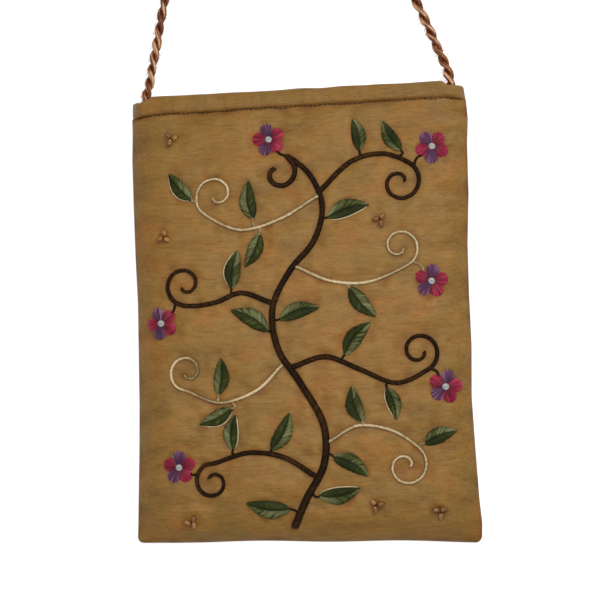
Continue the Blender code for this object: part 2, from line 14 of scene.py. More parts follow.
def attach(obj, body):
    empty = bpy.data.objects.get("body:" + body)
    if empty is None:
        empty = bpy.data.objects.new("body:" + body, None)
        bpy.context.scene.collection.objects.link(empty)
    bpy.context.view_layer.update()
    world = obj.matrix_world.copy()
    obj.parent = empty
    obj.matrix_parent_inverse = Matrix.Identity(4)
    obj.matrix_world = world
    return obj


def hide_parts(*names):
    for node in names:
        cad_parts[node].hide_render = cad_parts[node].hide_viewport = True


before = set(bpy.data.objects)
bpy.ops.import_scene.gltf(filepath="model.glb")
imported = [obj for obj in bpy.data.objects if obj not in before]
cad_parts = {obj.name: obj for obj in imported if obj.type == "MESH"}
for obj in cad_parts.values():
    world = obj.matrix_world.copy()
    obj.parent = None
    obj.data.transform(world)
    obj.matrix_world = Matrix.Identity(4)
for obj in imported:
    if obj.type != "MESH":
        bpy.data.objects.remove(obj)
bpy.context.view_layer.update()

MM = 0.001
BAG = "bag"

# The bag, as its source has it
HALF_WIDTH = 75.0
HALF_HEIGHT = 100.0
CORNER_RADIUS = 3.0
SILK = 0.8
CLEARANCE = 0.3
LOFT = 6.3
SEAM_RUN = 18.0
SEAM_SWELL = 2.4
HEM_HEIGHT = 7.6
HEM_FRONT = 2.2
HEM_BACK = 2.0
HEM_EDGE = 0.7
HEM_RUN = 9.0
LINING = 0.5
LINING_INSET = 4.0
LINING_MOUTH = 14.0
ZIP_RECESS = 4.5
TAPE = 0.4
TAPE_INSET = 11.5
CHAIN_INSET = 16.5
CHAIN_THICKNESS = 1.2
SEAM_LEVEL = SILK + CLEARANCE
PLATEAU = SEAM_LEVEL + LOFT
HEM_Y = HALF_HEIGHT - HEM_HEIGHT
ZIP_Y = HALF_HEIGHT - ZIP_RECESS
MOUTH_MIDDLE = (HEM_BACK + PLATEAU) / 2
PANEL_Y = HEM_Y - CLEARANCE

# The embroidery
VINE_WIDTH = 2.5
VINE_HEIGHT = 1.2
VINE_STEP = 0.25
PADDING_DROP = 0.14
PADDING_DEPTH = 0.35
LEAF_THICKNESS = 0.9
ROSETTE_RADIUS = 7.4
ROSETTE_HEIGHT = 1.1
PETALS = 5
PETAL_PLACE = 4.4
PETAL_REACH = 2.4
PETAL_STITCHES = 21
BEAD_DIAMETER = 2.2
THREAD_PITCH = 0.42
YARN_SIDES = 6

# The cord
CORD_DIAMETER = 4.0
CORD_INSET = 6.4
CORD_TUCK = 4.5
CORD_STEP = 0.8
COIL_CENTRE = np.array([-4.0, 186.0])
COIL_INNER_TURN = 14.0
COIL_OUTER_TURN = 30.0
COIL_LEVELS = (3.2, 7.2)
PLY_RADIUS = 1.13
PLY_OFFSET = 1.0
PLY_PITCH = 13.6
TIE_WIDTH = 6.0

# The stems: thread, width at the root and at the tip as shares of the vine's width, route and closing scroll
VINES = {
    "trunk": ("brown", 1.35, 0.85, [(-5, -93), (1, -80), (9, -65), (9, -48), (0, -31), (-10, -15), (-12, 3),
                                    (-4, 19), (7, 32), (11, 47), (6, 61), (-4, 70)], (-8, 62.5, -0.85, 2.6)),
    "scroll_low_left": ("brown", 0.95, 0.6, [(3.5, -69.5), (-9, -62), (-24, -60), (-38, -64)],
                        (-40, -72.5, 1.2, 2.4)),
    "scroll_low_right": ("cream", 0.7, 0.5, [(12.5, -55), (24, -49), (38, -51), (49, -58)],
                         (44, -66.5, -1.2, 2.2)),
    "scroll_left": ("cream", 0.7, 0.5, [(-9.8, -23.5), (-20, -33), (-36, -38), (-50, -33)],
                    (-50.5, -24, -1.15, 2.2)),
    "scroll_right": ("brown", 0.95, 0.6, [(-2, -22.5), (11, -19), (26, -25), (41, -31), (54, -26)],
                     (51, -17.5, 1.2, 2.4)),
    "scroll_high_left": ("brown", 0.95, 0.6, [(-14.5, 6), (-26, 10), (-38, 6), (-50, 5)],
                         (-51, 14.5, -1.15, 2.4)),
    "scroll_high_right": ("cream", 0.7, 0.5, [(0.5, 20), (14, 14), (30, 13), (46, 19)],
                          (44, 28, 1.15, 2.2)),
    "tendril_top_left": ("cream", 0.7, 0.5, [(8.2, 51), (-8, 42), (-26, 38), (-42, 46)],
                         (-36, 54, -1.05, 2.2)),
    "tendril_top_right": ("brown", 0.95, 0.6, [(11.5, 55), (24, 66), (38, 69), (50, 64)],
                          (45, 56, -1.15, 2.4)),
}

# Leaves: foot x and y, heading in degrees, length, width and sideways bend
LEAVES = [
    (-6.5, -84.5, 172, 19, 8.0, 1.5), (6.5, -79, 10, 18, 7.5, -1.5), (13, -62, -30, 17, 7.5, 1.5),
    (-14, -59, 62, 18, 7.5, -1.5), (-31, -58.5, 85, 15, 7.0, 1.5), (26, -47.5, 105, 16, 7.5, 1.5),
    (52, -57, 20, 15, 7.0, 1.0), (-31, -40.5, -155, 16, 7.0, 1.0), (-37, -34.5, 85, 16, 7.0, -1.0),
    (19, -18.5, 50, 18, 7.5, 1.5), (37, -33, -75, 14, 6.5, 1.0), (-14, -7, 150, 19, 8.0, -1.5),
    (-9, -2, 15, 18, 7.5, 1.5), (-30, 12, 80, 17, 7.5, 1.0), (22, 11, -50, 17, 7.5, -1.0),
    (-17, 36, -115, 16, 7.0, 1.0), (13, 42, 15, 19, 8.0, 1.5), (28, 71, 100, 14, 6.5, -1.0),
    (-20, 42.5, 95, 17, 7.5, 1.5), (-47, 52, 130, 16, 7.0, 1.0), (46, 70, 120, 15, 6.5, 1.0),
]

# How far the seams of the two sides waver outwards at heights along the bag
WAVER_Y = (-100, -92, -82, -60, -38, -15, 7, 29, 51, 73, 84, 92, 100)
WAVER_LEFT = (1.3, 1.0, 0.7, 0.0, -0.4, -0.4, -0.4, 0.4, 0.9, 1.2, 0.9, 0.9, 0.9)
WAVER_RIGHT = (0.5, 0.9, 0.1, -0.9, -1.7, -1.0, -1.3, -1.2, 0.0, 0.1, 0.8, 0.3, -0.8)

# Where the small ears of the hem, outside the cord, start, have their notch and end
EAR_START = 65.0
EAR_NOTCH = 70.9
EAR_CORNER = 73.8

# Rosettes and bead clusters: centre x and y, and turn in degrees
ROSETTES = [(-55, -66, 20), (62, -33, 5), (-62, -2.5, 40), (57.5, 12.5, 10), (-12, 77.5, 30), (59.5, 71, 50)]
BEADS = [(-56, 80, 10), (36, 40, 50), (-60, 36, 80), (31, -83, 15), (-50, -90, 60), (58, -86, 35)]

# How strongly the white surroundings light the scene
SKY_LIGHT = 0.2

rng = np.random.default_rng(7)


# Materials


def srgb(red, green, blue):
    """A colour given as 0 to 255 values, as linear ones."""
    values = np.array([red, green, blue]) / 255
    linear = np.where(values <= 0.04045, values / 12.92, ((values + 0.055) / 1.055) ** 2.4)
    return (*linear.tolist(), 1.0)


class Nodes:
    """Short ways to add nodes to a node tree."""

    def __init__(self, tree):
        self.tree = tree

    def set(self, socket, value):
        """Links a node's output to a socket, or gives the socket a plain value."""
        if isinstance(value, bpy.types.NodeSocket):
            self.tree.links.new(value, socket)
        else:
            socket.default_value = value

    def node(self, kind, inputs=(), **settings):
        node = self.tree.nodes.new(kind)
        for key, value in settings.items():
            setattr(node, key, value)
        for key, value in dict(inputs).items():
            self.set(node.inputs[key], value)
        return node

    def math(self, operation, first, second):
        return self.node("ShaderNodeMath", {0: first, 1: second}, operation=operation).outputs[0]

    def seen(self, strength):
        """The strength where the camera sees the surface, straight on, in a reflection or through glass."""
        path = self.node("ShaderNodeLightPath").outputs
        either = self.math("MAXIMUM", path["Is Camera Ray"], path["Is Glossy Ray"])
        either = self.math("MAXIMUM", either, path["Is Transmission Ray"])
        return self.math("MULTIPLY", either, strength)


class Look(Nodes):
    """A procedural material."""

    def __init__(self, name, **sockets):
        self.material = bpy.data.materials.new(name)
        self.material.use_nodes = True
        super().__init__(self.material.node_tree)
        self.shader = self.tree.nodes["Principled BSDF"]
        for socket, value in sockets.items():
            self.shader.inputs[socket.replace("_", " ")].default_value = value

    def noise(self, scale, detail=1, roughness=0.5):
        """Noise over the object's own coordinates, in cells per metre: one number, or one each for X, Y and Z."""
        place = self.node("ShaderNodeTexCoord").outputs["Object"]
        scale = scale if np.ndim(scale) else (scale, scale, scale)
        spread = self.node("ShaderNodeMapping", {"Vector": place, "Scale": scale}).outputs[0]
        inputs = {"Vector": spread, "Scale": 1.0, "Detail": detail, "Roughness": roughness}
        return self.node("ShaderNodeTexNoise", inputs).outputs["Fac"]

    def shade(self):
        return self.node("ShaderNodeAttribute", attribute_name="shade").outputs["Fac"]

    def ramp(self, factor, *stops):
        """A colour ramp. Each stop is a place with a colour or a grey."""
        node = self.node("ShaderNodeValToRGB", {"Fac": factor})
        elements = node.color_ramp.elements
        while len(elements) < len(stops):
            elements.new(0.5)
        for element, (place, colour) in zip(elements, stops):
            element.position = place
            element.color = (*(colour if np.ndim(colour) else [colour] * 3), 1)[:4]
        return node.outputs["Color"]

    def mix(self, factor, first, second, blend="MIX"):
        inputs = {0: factor, 6: first, 7: second}
        return self.node("ShaderNodeMix", inputs, data_type="RGBA", blend_type=blend).outputs[2]

    def colour(self, value, *tints):
        """Sets the surface's colour, multiplied by each tint."""
        for tint in tints:
            value = self.mix(1.0, value, tint, "MULTIPLY")
        self.set(self.shader.inputs["Base Color"], value)

    def bump(self, height, distance, strength=0.5):
        """Adds relief of a depth in millimetres to the relief that is there."""
        normal = self.shader.inputs["Normal"]
        inputs = {"Height": height, "Distance": distance * MM, "Strength": strength}
        if normal.is_linked:
            inputs["Normal"] = normal.links[0].from_socket
        self.set(normal, self.node("ShaderNodeBump", inputs).outputs[0])


def silk_look(name, tint=1.0):
    """Dupion silk: fine threads across, thicker slubs here and there, a mottle of gold and olive, and painted shade and
    highlight.
    """
    look = Look(name, Roughness=0.5, Sheen_Weight=0.05, Sheen_Roughness=0.4, Sheen_Tint=srgb(255, 205, 130),
                Specular_IOR_Level=0.25)
    olive, middle, gold = (srgb(*(value * tint for value in colour))
                           for colour in ((138, 106, 52), (151, 113, 54), (160, 111, 50)))
    slubs = look.noise((150, 940, 700), 5, 0.74)
    look.colour(look.ramp(look.noise((62, 90, 62), 6, 0.62), (0.32, olive), (0.5, middle), (0.68, gold)),
                look.ramp(slubs, (0.34, (0.80, 0.735, 0.62)), (0.5, 1), (0.66, (1.14, 1.14, 1.13))),
                look.ramp(look.noise((1000, 760, 700), 3, 0.7), (0.32, (0.90, 0.89, 0.87)),
                          (0.68, (1.07, 1.07, 1.06))),
                # The shade attribute paints shade, dark red-brown, at the seams, in the groove below the hem, beside
                # the stitches and in creases, and a faint painted highlight on crests.
                look.ramp(look.shade(), (0.0, (0.46, 0.28, 0.17)), (0.3, (0.78, 0.66, 0.54)), (0.5, 1),
                          (0.6, (1.07, 1.08, 1.1))))
    look.bump(look.noise((190, 270, 220), 3, 0.6), 0.7)
    look.bump(slubs, 0.2, 0.7)
    look.bump(look.noise(2600), 0.05)
    return look.material


def thread_look(name, dark, middle, pale, roughness=0.45, gloss=0.22):
    """Shiny embroidery thread, whose shade changes from strand to strand."""
    look = Look(name, Roughness=roughness, Specular_IOR_Level=gloss)
    look.colour(look.ramp(look.shade(), (0.0, srgb(*dark)), (0.5, srgb(*middle)), (1.0, srgb(*pale))),
                look.ramp(look.noise(2200), (0.3, 0.86), (0.7, 1.1)))
    look.bump(look.noise(3200), 0.03)
    return look.material


def cloth_look(name, colour, scale):
    look = Look(name, Roughness=0.72, Sheen_Weight=0.2)
    weave = look.noise(scale, 2, 0.6)
    dark = srgb(*(0.8 * value for value in colour))
    look.colour(look.mix(look.ramp(weave, (0.3, 0), (0.7, 1)), dark, srgb(*colour)))
    look.bump(weave, 0.10, 0.6)
    return look.material


def glass_look():
    look = Look("bead_glass", Roughness=0.08, IOR=1.45, Transmission_Weight=0.5)
    look.colour(look.ramp(look.shade(), (0.0, srgb(146, 86, 24)), (0.5, srgb(184, 122, 46)),
                          (1.0, srgb(224, 174, 96))))
    return look.material


def metal_look():
    look = Look("zip_metal", Metallic=1.0, Roughness=0.32)
    look.colour(look.ramp(look.noise(420, 3, 0.6), (0.35, srgb(176, 142, 84)), (0.65, srgb(216, 186, 126))))
    look.bump(look.noise(1600, 2), 0.02, 0.4)
    return look.material


def cord_look():
    """Rayon cord: copper and gold fibres, with painted shade, dark red-brown, where they meet and a painted peach
    highlight on the outermost fibres.
    """
    look = Look("cord_rayon", Roughness=0.4, Specular_IOR_Level=0.25)
    look.colour(look.ramp(look.shade(), (0.0, srgb(72, 24, 6)), (0.28, srgb(106, 50, 18)),
                          (0.55, srgb(144, 86, 38)), (0.82, srgb(232, 182, 140))),
                look.ramp(look.noise(900, 4, 0.7), (0.34, (0.72, 0.68, 0.64)), (0.5, 1), (0.66, (1.22, 1.22, 1.2))))
    look.bump(look.noise(2400), 0.08, 0.6)
    return look.material


LOOKS = {
    "silk": silk_look("silk"),
    "silk_hem": silk_look("silk_hem", 0.98),
    "lining_cloth": cloth_look("lining_cloth", (176, 142, 92), (1700, 1700, 900)),
    "tape_cloth": cloth_look("tape_cloth", (148, 112, 68), (900, 2600, 900)),
    "zip_teeth": cloth_look("zip_teeth", (206, 168, 112), 500),
    "zip_metal": metal_look(),
    "bead_glass": glass_look(),
    "cord_rayon": cord_look(),
}

# Threads: dark, middle and pale colour, then roughness and gloss where they aren't the usual ones
THREADS = {
    "brown_thread": ((18, 8, 1), (36, 20, 4), (72, 44, 14), 0.5, 0.08),
    "cream_thread": ((84, 60, 26), (161, 133, 84), (226, 204, 160), 0.34, 0.5),
    "green_thread": ((21, 26, 4), (54, 61, 18), (140, 141, 96), 0.45, 0.1),
    "crimson_thread": ((84, 8, 28), (152, 26, 58), (206, 74, 100)),
    "purple_thread": ((54, 22, 48), (98, 50, 86), (168, 128, 150)),
    "silver_thread": ((104, 108, 104), (162, 168, 166), (226, 228, 224), 0.3, 0.5),
    "seam_thread": ((46, 25, 8), (68, 42, 15), (98, 66, 30), 0.6),
}
LOOKS |= {name: thread_look(name, *colours) for name, colours in THREADS.items()}


# Meshes


def grid_quads(rows, columns, closed=False):
    """The quads of a grid whose points are stored row by row; closed joins the last column to the first."""
    row = np.arange(rows - 1)[:, None]
    column = np.arange(columns if closed else columns - 1)[None, :]
    here = row * columns + column
    beside = row * columns + (column + 1) % columns
    return np.stack([here, beside, beside + columns, here + columns], -1).reshape(-1, 4)


class Shape:
    """Gathers closed surfaces, in millimetres, and makes one mesh object of them."""

    def __init__(self):
        self.points = []
        self.shades = []
        self.faces = []
        self.count = 0

    def add(self, points, quads, caps=(), shade=0.5):
        """Adds closed surfaces: their points, quads and end faces, turned so that they face outwards."""
        points = np.asarray(points, float).reshape(-1, 3)
        a, b, c, d = (points[quads[:, i]] for i in range(4))
        middle = points.mean(0)
        volume = (np.cross(a - middle, b - middle) * (c - middle)).sum()
        volume += (np.cross(a - middle, c - middle) * (d - middle)).sum()
        turn = slice(None, None, 1 if volume > 0 else -1)
        self.faces.extend((quads[:, turn] + self.count).tolist())
        for cap in caps:
            self.faces.extend((np.asarray(cap)[:, turn] + self.count).tolist())
        self.points.append(points)
        self.shades.append(np.broadcast_to(np.ravel(shade), len(points)))
        self.count += len(points)

    def slab(self, top, bottom, shade=0.5):
        """A closed sheet between two grids of points of the same size."""
        rows, columns = top.shape[:2]
        size = rows * columns
        quads = grid_quads(rows, columns)
        edge = np.concatenate([np.arange(columns), np.arange(1, rows) * columns + columns - 1,
                               (rows - 1) * columns + np.arange(columns - 2, -1, -1),
                               np.arange(rows - 2, 0, -1) * columns])
        after = np.roll(edge, -1)
        rim = np.stack([edge, edge + size, after + size, after], -1)
        both = np.concatenate([top.reshape(-1, 3), bottom.reshape(-1, 3)])
        self.add(both, np.concatenate([quads, quads[:, ::-1] + size, rim]), shade=shade)

    def rings(self, rings, shade=0.5):
        """Closed tubes: rings has the shape (tubes, stations, points round, 3)."""
        tubes, stations, around = rings.shape[:3]
        size = stations * around
        start = (np.arange(tubes) * size)[:, None]
        quads = (grid_quads(stations, around, closed=True)[None] + start[:, :, None]).reshape(-1, 4)
        first = start + np.arange(around)[None, ::-1]
        last = start + size - around + np.arange(around)[None, :]
        self.add(rings, quads, (first, last), np.broadcast_to(shade, rings.shape[:3]).ravel())

    def wires(self, paths, radius, sides, shade=0.5, up=(0, 0, 1)):
        """Round wires along paths of the shape (wires, stations, 3)."""
        self.rings(sweep(paths, round_outline(sides), radius, radius, up), shade)

    def make(self, name, look, *nodes, angle=60):
        """Makes the piece, which rides on the bag and takes the place of the given nodes."""
        mesh = bpy.data.meshes.new(name)
        mesh.from_pydata((np.concatenate(self.points) * MM).tolist(), [], self.faces)
        shade = mesh.attributes.new("shade", "FLOAT", "POINT")
        shade.data.foreach_set("value", np.concatenate(self.shades).astype(np.float32))
        mesh.shade_smooth()
        mesh.set_sharp_from_angle(angle=math.radians(angle))
        mesh.materials.append(LOOKS[look])
        piece = add_object(name, mesh)
        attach(piece, BAG)
        if nodes:
            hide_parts(*nodes)
        return piece


def add_object(name, data):
    thing = bpy.data.objects.new(name, data)
    bpy.context.scene.collection.objects.link(thing)
    return thing


def slab_piece(name, look, node, top, under, shade=0.5):
    """Makes one sheet, shaded alike on both sides, in place of a node."""
    shape = Shape()
    shape.slab(top, under, np.tile(np.broadcast_to(shade, top.shape[:2]).ravel(), 2))
    return shape.make(name, look, node)


HALF_ROUND = np.array([(-1, -0.35), (-0.8, 0.55), (0, 1), (0.8, 0.55), (1, -0.35)])


def clamped(values):
    return np.clip(values, 0, 1)


def bell(distance, width):
    """A bell curve of height 1 about 0."""
    return np.exp(-((distance / width) ** 2))


def unit(vectors):
    return vectors / np.maximum(np.linalg.norm(vectors, axis=-1, keepdims=True), 1e-9)


def xyz(x, y, z):
    """Points from their coordinates, any of which may be a single number."""
    return np.stack(np.broadcast_arrays(x, y, z), -1)


def direction(angle):
    return np.array([math.cos(angle), math.sin(angle)])


def circling(x, y, radius, angle):
    """The coordinates at a radius and an angle about a centre."""
    return x + radius * np.cos(angle), y + radius * np.sin(angle)


def spokes(side, top, angle):
    """Directions at the given angles round a line, from the line's side to its top."""
    return side * np.cos(angle)[:, None] + top * np.sin(angle)[:, None]


def heading_along(line):
    """The direction in which a line runs at each of its points."""
    return unit(np.gradient(line, axis=0))


def sideways(line):
    """The directions to the right of a line in the plane."""
    return heading_along(line)[:, ::-1] * [1, -1]


def interpolated(at, places, values):
    """Values, or rows of them, at some places, from those at the given places."""
    if values.ndim == 1:
        return np.interp(at, places, values)
    return np.stack([np.interp(at, places, column) for column in values.T], -1)


def run_along(points):
    """How far each point lies along the line through all of them."""
    return np.concatenate([[0], np.cumsum(np.linalg.norm(np.diff(points, axis=0), axis=1))])


def sweep(paths, outline, wide, high, up=(0, 0, 1)):
    """Rings of an outline along many paths. paths is (tubes, stations, 3); wide and high scale the outline."""
    along = unit(np.gradient(paths, axis=1))
    side = unit(np.cross(along, np.broadcast_to(up, paths.shape)))
    top = np.cross(side, along)
    wide = np.broadcast_to(wide, paths.shape[:2])[..., None, None]
    high = np.broadcast_to(high, paths.shape[:2])[..., None, None]
    across = outline[:, 0][None, None, :, None] * wide * side[:, :, None, :]
    rise = outline[:, 1][None, None, :, None] * high * top[:, :, None, :]
    return paths[:, :, None, :] + across + rise


def whole_turn(count):
    """Angles evenly round a turn."""
    return np.linspace(0, math.tau, count, endpoint=False)


def round_outline(count):
    angles = whole_turn(count)
    return np.stack([np.cos(angles), np.sin(angles)], 1)


def add_strands(shape, paths, width=THREAD_PITCH, shade=0.5, bulge=0.62):
    """Satin stitches: many short half-round threads, thin where they dive into the cloth."""
    stations = paths.shape[1]
    taper = np.sqrt(np.clip(1 - np.abs(np.linspace(-1, 1, stations)) ** 5, 0.12, 1))
    half = width * 0.56 * taper[None, :]
    shade = np.reshape(shade, np.shape(shade) + (1,) * (3 - np.ndim(shade)))
    shape.rings(sweep(paths, HALF_ROUND, half, half * bulge), shade)


# The lie of the silk


def inward(x):
    """How far a place lies from the nearer side seam."""
    return HALF_WIDTH - np.abs(x)


def from_seams(x, y):
    """How far a place lies from the nearest of the seams at the sides and the foot."""
    return np.minimum(inward(x), y + HALF_HEIGHT)


def share(distance, run):
    """How much of the full loft stands at this distance from a seam, from 0 at the seam to 1."""
    return 1 - (1 - clamped(distance / run)) ** SEAM_SWELL


def panel_top(x, y):
    return SEAM_LEVEL + SILK + LOFT * share(inward(x), SEAM_RUN) * share(y + HALF_HEIGHT, SEAM_RUN)


def mouth_under(x):
    seam = HEM_BACK + CLEARANCE
    return seam + (PLATEAU - seam) * share(inward(x), HEM_RUN)


def ripple(x, y, length, seed, waves=18, lean=(1.0, 1.0)):
    """Smooth irregular waves of about the given length and of size 1, the same on each run."""
    draw = np.random.default_rng(seed)
    angles = draw.uniform(0, math.pi, waves)
    lengths = length * draw.uniform(0.7, 1.5, waves)
    phases = draw.uniform(0, math.tau, waves)
    total = np.zeros(np.broadcast(x, y).shape)
    for angle, reach, phase in zip(angles, lengths, phases):
        total += np.sin(math.tau * (x * lean[0] * math.cos(angle) + y * lean[1] * math.sin(angle)) / reach + phase)
    return total * math.sqrt(2 / waves)


def wave(run, length, seed):
    """Smooth irregular waves along a line."""
    return ripple(run, 0, length, seed)


def smooth_route(points, step):
    """Points a step apart along a smooth curve through the given ones."""
    points = np.array(points, float)
    held = np.vstack([2 * points[0] - points[1], points, 2 * points[-1] - points[-2]])
    fine = []
    for a, b, c, d in zip(held, held[1:], held[2:], held[3:]):
        t = np.linspace(0, 1, 24, endpoint=False)[:, None]
        fine.append(0.5 * (2 * b + (c - a) * t + (2 * a - 5 * b + 4 * c - d) * t**2
                           + (3 * b - a - 3 * c + d) * t**3))
    return resampled(np.vstack([*fine, points[-1]]), step)


def resampled(fine, step):
    along = run_along(fine)
    return interpolated(np.linspace(0, along[-1], max(2, round(along[-1] / step)) + 1), along, fine)


def scroll(last, centre_x, centre_y, turns, end_radius):
    """Points that wind in from the last point of a stem about a centre."""
    offset = np.array(last) - (centre_x, centre_y)
    radius = np.hypot(*offset)
    start = math.atan2(offset[1], offset[0])
    count = round(abs(turns) * 8)
    part = np.arange(1, count + 1) / count
    here = radius + (end_radius - radius) * part
    angle = start + part * turns * math.tau
    return list(zip(*circling(centre_x, centre_y, here, angle)))


def vine_route(name, step):
    """The middle line of a stem. A branch starts a little further back, so that it grows out of the trunk."""
    *_, route, curl = VINES[name]
    points = [*route, *scroll(route[-1], *curl)]
    if name != "trunk":
        back = unit(np.array(route[0], float) - np.array(route[1], float))
        points.insert(0, tuple(np.array(route[0]) + back * 2.2))
    return smooth_route(points, step)


def leaf_place(leaf, u, v):
    """A place on a leaf: u runs from its foot to its tip and v from one edge to the other."""
    foot_x, foot_y, heading, length, width, bend = leaf
    along = direction(math.radians(heading))
    across = np.array([-along[1], along[0]])
    u = np.asarray(u, float)
    full = np.sin(math.pi * clamped(u) ** 0.85) ** 0.8
    half = (0.04 + 0.96 * full) * width / 2
    spine = np.array([foot_x, foot_y]) + along * (u * length)[..., None]
    spine = spine + across * (bend * np.sin(math.pi * u))[..., None]
    place = spine + across * (half * v)[..., None]
    return place, full


def stitched_places():
    """Places all over the embroidery, with how far the stitches reach round each."""
    found = []
    for name, (_, root, tip, _, _) in VINES.items():
        for x, y in vine_route(name, 1.5):
            found.append((x, y, VINE_WIDTH * (root + tip) / 4))
    for leaf in LEAVES:
        for u in np.linspace(0.05, 0.95, 8):
            place, full = leaf_place(leaf, u, 0.0)
            found.append((*place, leaf[4] / 2 * float(full)))
    for x, y, turn in ROSETTES:
        found.append((x, y, ROSETTE_RADIUS * 0.85))
        for i in range(PETALS):
            found.append((*((x, y) + PETAL_PLACE * direction(math.radians(turn + 360 / PETALS * i))), PETAL_REACH))
    for x, y, _ in BEADS:
        found.append((x, y, BEAD_DIAMETER * 0.9))
    return found


def billowed(away):
    """How far cloth that is pinned along its seams and stitches billows up, found by a short simulation."""
    step = 3.0
    unit_mm = 0.01
    columns = np.linspace(-HALF_WIDTH, HALF_WIDTH, round(2 * HALF_WIDTH / step) + 1)
    rows = np.linspace(-HALF_HEIGHT, PANEL_Y, round((PANEL_Y + HALF_HEIGHT) / step) + 1)
    x, y = np.meshgrid(columns, rows)
    flat = panel_top(x, y)
    points = xyz(x, y, flat).reshape(-1, 3) * unit_mm
    mesh = bpy.data.meshes.new("billow")
    mesh.from_pydata(points.tolist(), [], grid_quads(len(rows), len(columns)).tolist())
    cloth_object = add_object("billow", mesh)
    held = ((away(x, y) < 0.9) | (np.minimum(from_seams(x, y), PANEL_Y - y) < step * 0.7)).ravel()
    pins = cloth_object.vertex_groups.new(name="pins")
    pins.add(np.flatnonzero(held).tolist(), 1.0, "REPLACE")
    cloth = cloth_object.modifiers.new("Cloth", "CLOTH").settings
    settings = {"quality": 6, "mass": 0.2, "tension_stiffness": 12, "compression_stiffness": 12, "shear_stiffness": 4,
                "bending_stiffness": 0.05, "vertex_group_mass": "pins", "shrink_min": -0.018, "use_pressure": True,
                "uniform_pressure_force": 1.2}
    for key, value in settings.items():
        setattr(cloth, key, value)
    cloth.effector_weights.gravity = 0
    for number in range(1, 21):
        bpy.context.scene.frame_set(number)
    settled = cloth_object.evaluated_get(bpy.context.evaluated_depsgraph_get()).to_mesh()
    height = np.array([vert.co.z for vert in settled.vertices]) / unit_mm - flat.ravel()
    bpy.data.objects.remove(cloth_object)
    bpy.data.meshes.remove(mesh)
    bpy.context.scene.frame_set(1)
    return columns, rows, np.round(height, 3).reshape(flat.shape)


def between_grid(columns, rows, table, x, y):
    """Values of a table at any places, smoothly between its columns and rows."""
    x, y = np.broadcast_arrays(np.asarray(x, float), np.asarray(y, float))
    column = np.clip((x - columns[0]) / (columns[1] - columns[0]), 0, len(columns) - 1.001)
    row = np.clip((y - rows[0]) / (rows[1] - rows[0]), 0, len(rows) - 1.001)
    c, r = column.astype(int), row.astype(int)
    dc, dr = column - c, row - r
    low = table[r, c] * (1 - dc) + table[r, c + 1] * dc
    high = table[r + 1, c] * (1 - dc) + table[r + 1, c + 1] * dc
    return low * (1 - dr) + high * dr


def softened(table, times):
    """Averages each value with its neighbours."""
    for _ in range(times):
        for axis in (0, 1):
            wide = np.concatenate([table.take([0], axis), table, table.take([-1], axis)], axis)
            count = table.shape[axis]
            table = (wide.take(range(count), axis) + 2 * table + wide.take(range(2, count + 2), axis)) / 4
    return table


class Relief:
    """How far the silk stands over its plain form: raised between the stitches, with puckers beside them."""

    STEP = 1.0
    LEAST = -0.4
    MOST = 1.6
    PUCKER_PLACE = 2.2
    PUCKER_WIDTH = 3.2

    def __init__(self):
        self.x = np.arange(-HALF_WIDTH - 1, HALF_WIDTH + 1.01, self.STEP)
        self.y = np.arange(-HALF_HEIGHT - 1, HALF_HEIGHT + 1.01, self.STEP)
        places = stitched_places()
        tree = kdtree.KDTree(len(places))
        for i, (x, y, _) in enumerate(places):
            tree.insert((x, y, 0), i)
        tree.balance()
        self.away = np.zeros((len(self.y), len(self.x)))
        for row, y in enumerate(self.y):
            for column, x in enumerate(self.x):
                near = tree.find_n((x, y, 0), 3)
                self.away[row, column] = max(0, min(gap - places[i][2] for _, i, gap in near))
        x, y = np.meshgrid(self.x, self.y)
        away = self.away
        columns, rows, height = billowed(self.distance)
        swell = np.clip(between_grid(columns, rows, height, x, y), self.LEAST, self.MOST)
        swell = softened(swell, 4)
        puckers = 0.22 * ripple(x, y, 8.5, 5) * bell(away - self.PUCKER_PLACE, self.PUCKER_WIDTH)
        by_seam = np.exp(-inward(x) / 14) + 0.6 * np.exp(-np.maximum(PANEL_Y - y, 0) / 9)
        folds = 0.16 * (1 + 0.9 * by_seam) * ripple(x, y, 19, 9, lean=(0.5, 2.2)) * (1 - np.exp(-away / 3))
        edge = share(inward(x), 6) * share(y + HALF_HEIGHT, 9)
        self.crease = np.clip(-(puckers + folds) / 0.3, -0.6, 1)
        self.height = (swell + puckers + folds) * edge

    def at(self, x, y):
        return between_grid(self.x, self.y, self.height, x, y)

    def creased(self, x, y):
        """How deep a place lies in a crease, from below 0 on a crest to 1."""
        return between_grid(self.x, self.y, self.crease, x, y)

    def distance(self, x, y):
        """How far a place lies from the nearest stitches."""
        return between_grid(self.x, self.y, self.away, x, y)


relief = Relief()


def silk_top(x, y):
    """The upper surface of the silk front."""
    return panel_top(x, y) + relief.at(x, y)


def on_silk(places, lift=0.0):
    """Places given by x and y, set on the silk and lifted over it."""
    z = silk_top(places[..., 0], places[..., 1]) + lift
    return np.concatenate([places, z[..., None]], -1)


# The bag's pieces


def rounded(x, y, inset=0.0):
    """Draws in the points that lie in a rounded lower corner."""
    centre_x = HALF_WIDTH - inset - CORNER_RADIUS
    centre_y = -HALF_HEIGHT + inset + CORNER_RADIUS
    across = clamped((np.abs(x) - centre_x) / CORNER_RADIUS)
    down = clamped((centre_y - y) / CORNER_RADIUS)
    reach_x = CORNER_RADIUS * across * np.sqrt(1 - down**2 / 2)
    reach_y = CORNER_RADIUS * down * np.sqrt(1 - across**2 / 2)
    inside = (across > 0) & (down > 0)
    return (np.where(inside, np.copysign(centre_x + reach_x, x), x),
            np.where(inside, centre_y - reach_y, y))


def spaced(low, high, step, fine, run=6.0):
    """Places from low to high, closer together within a run of both ends."""
    places = [low]
    while places[-1] < high:
        beside = min(places[-1] - low, high - places[-1])
        places.append(places[-1] + (fine + (step - fine) * min(1, max(0, beside) / run)))
    places = np.array(places)
    return low + (places - low) * (high - low) / (places[-1] - low)


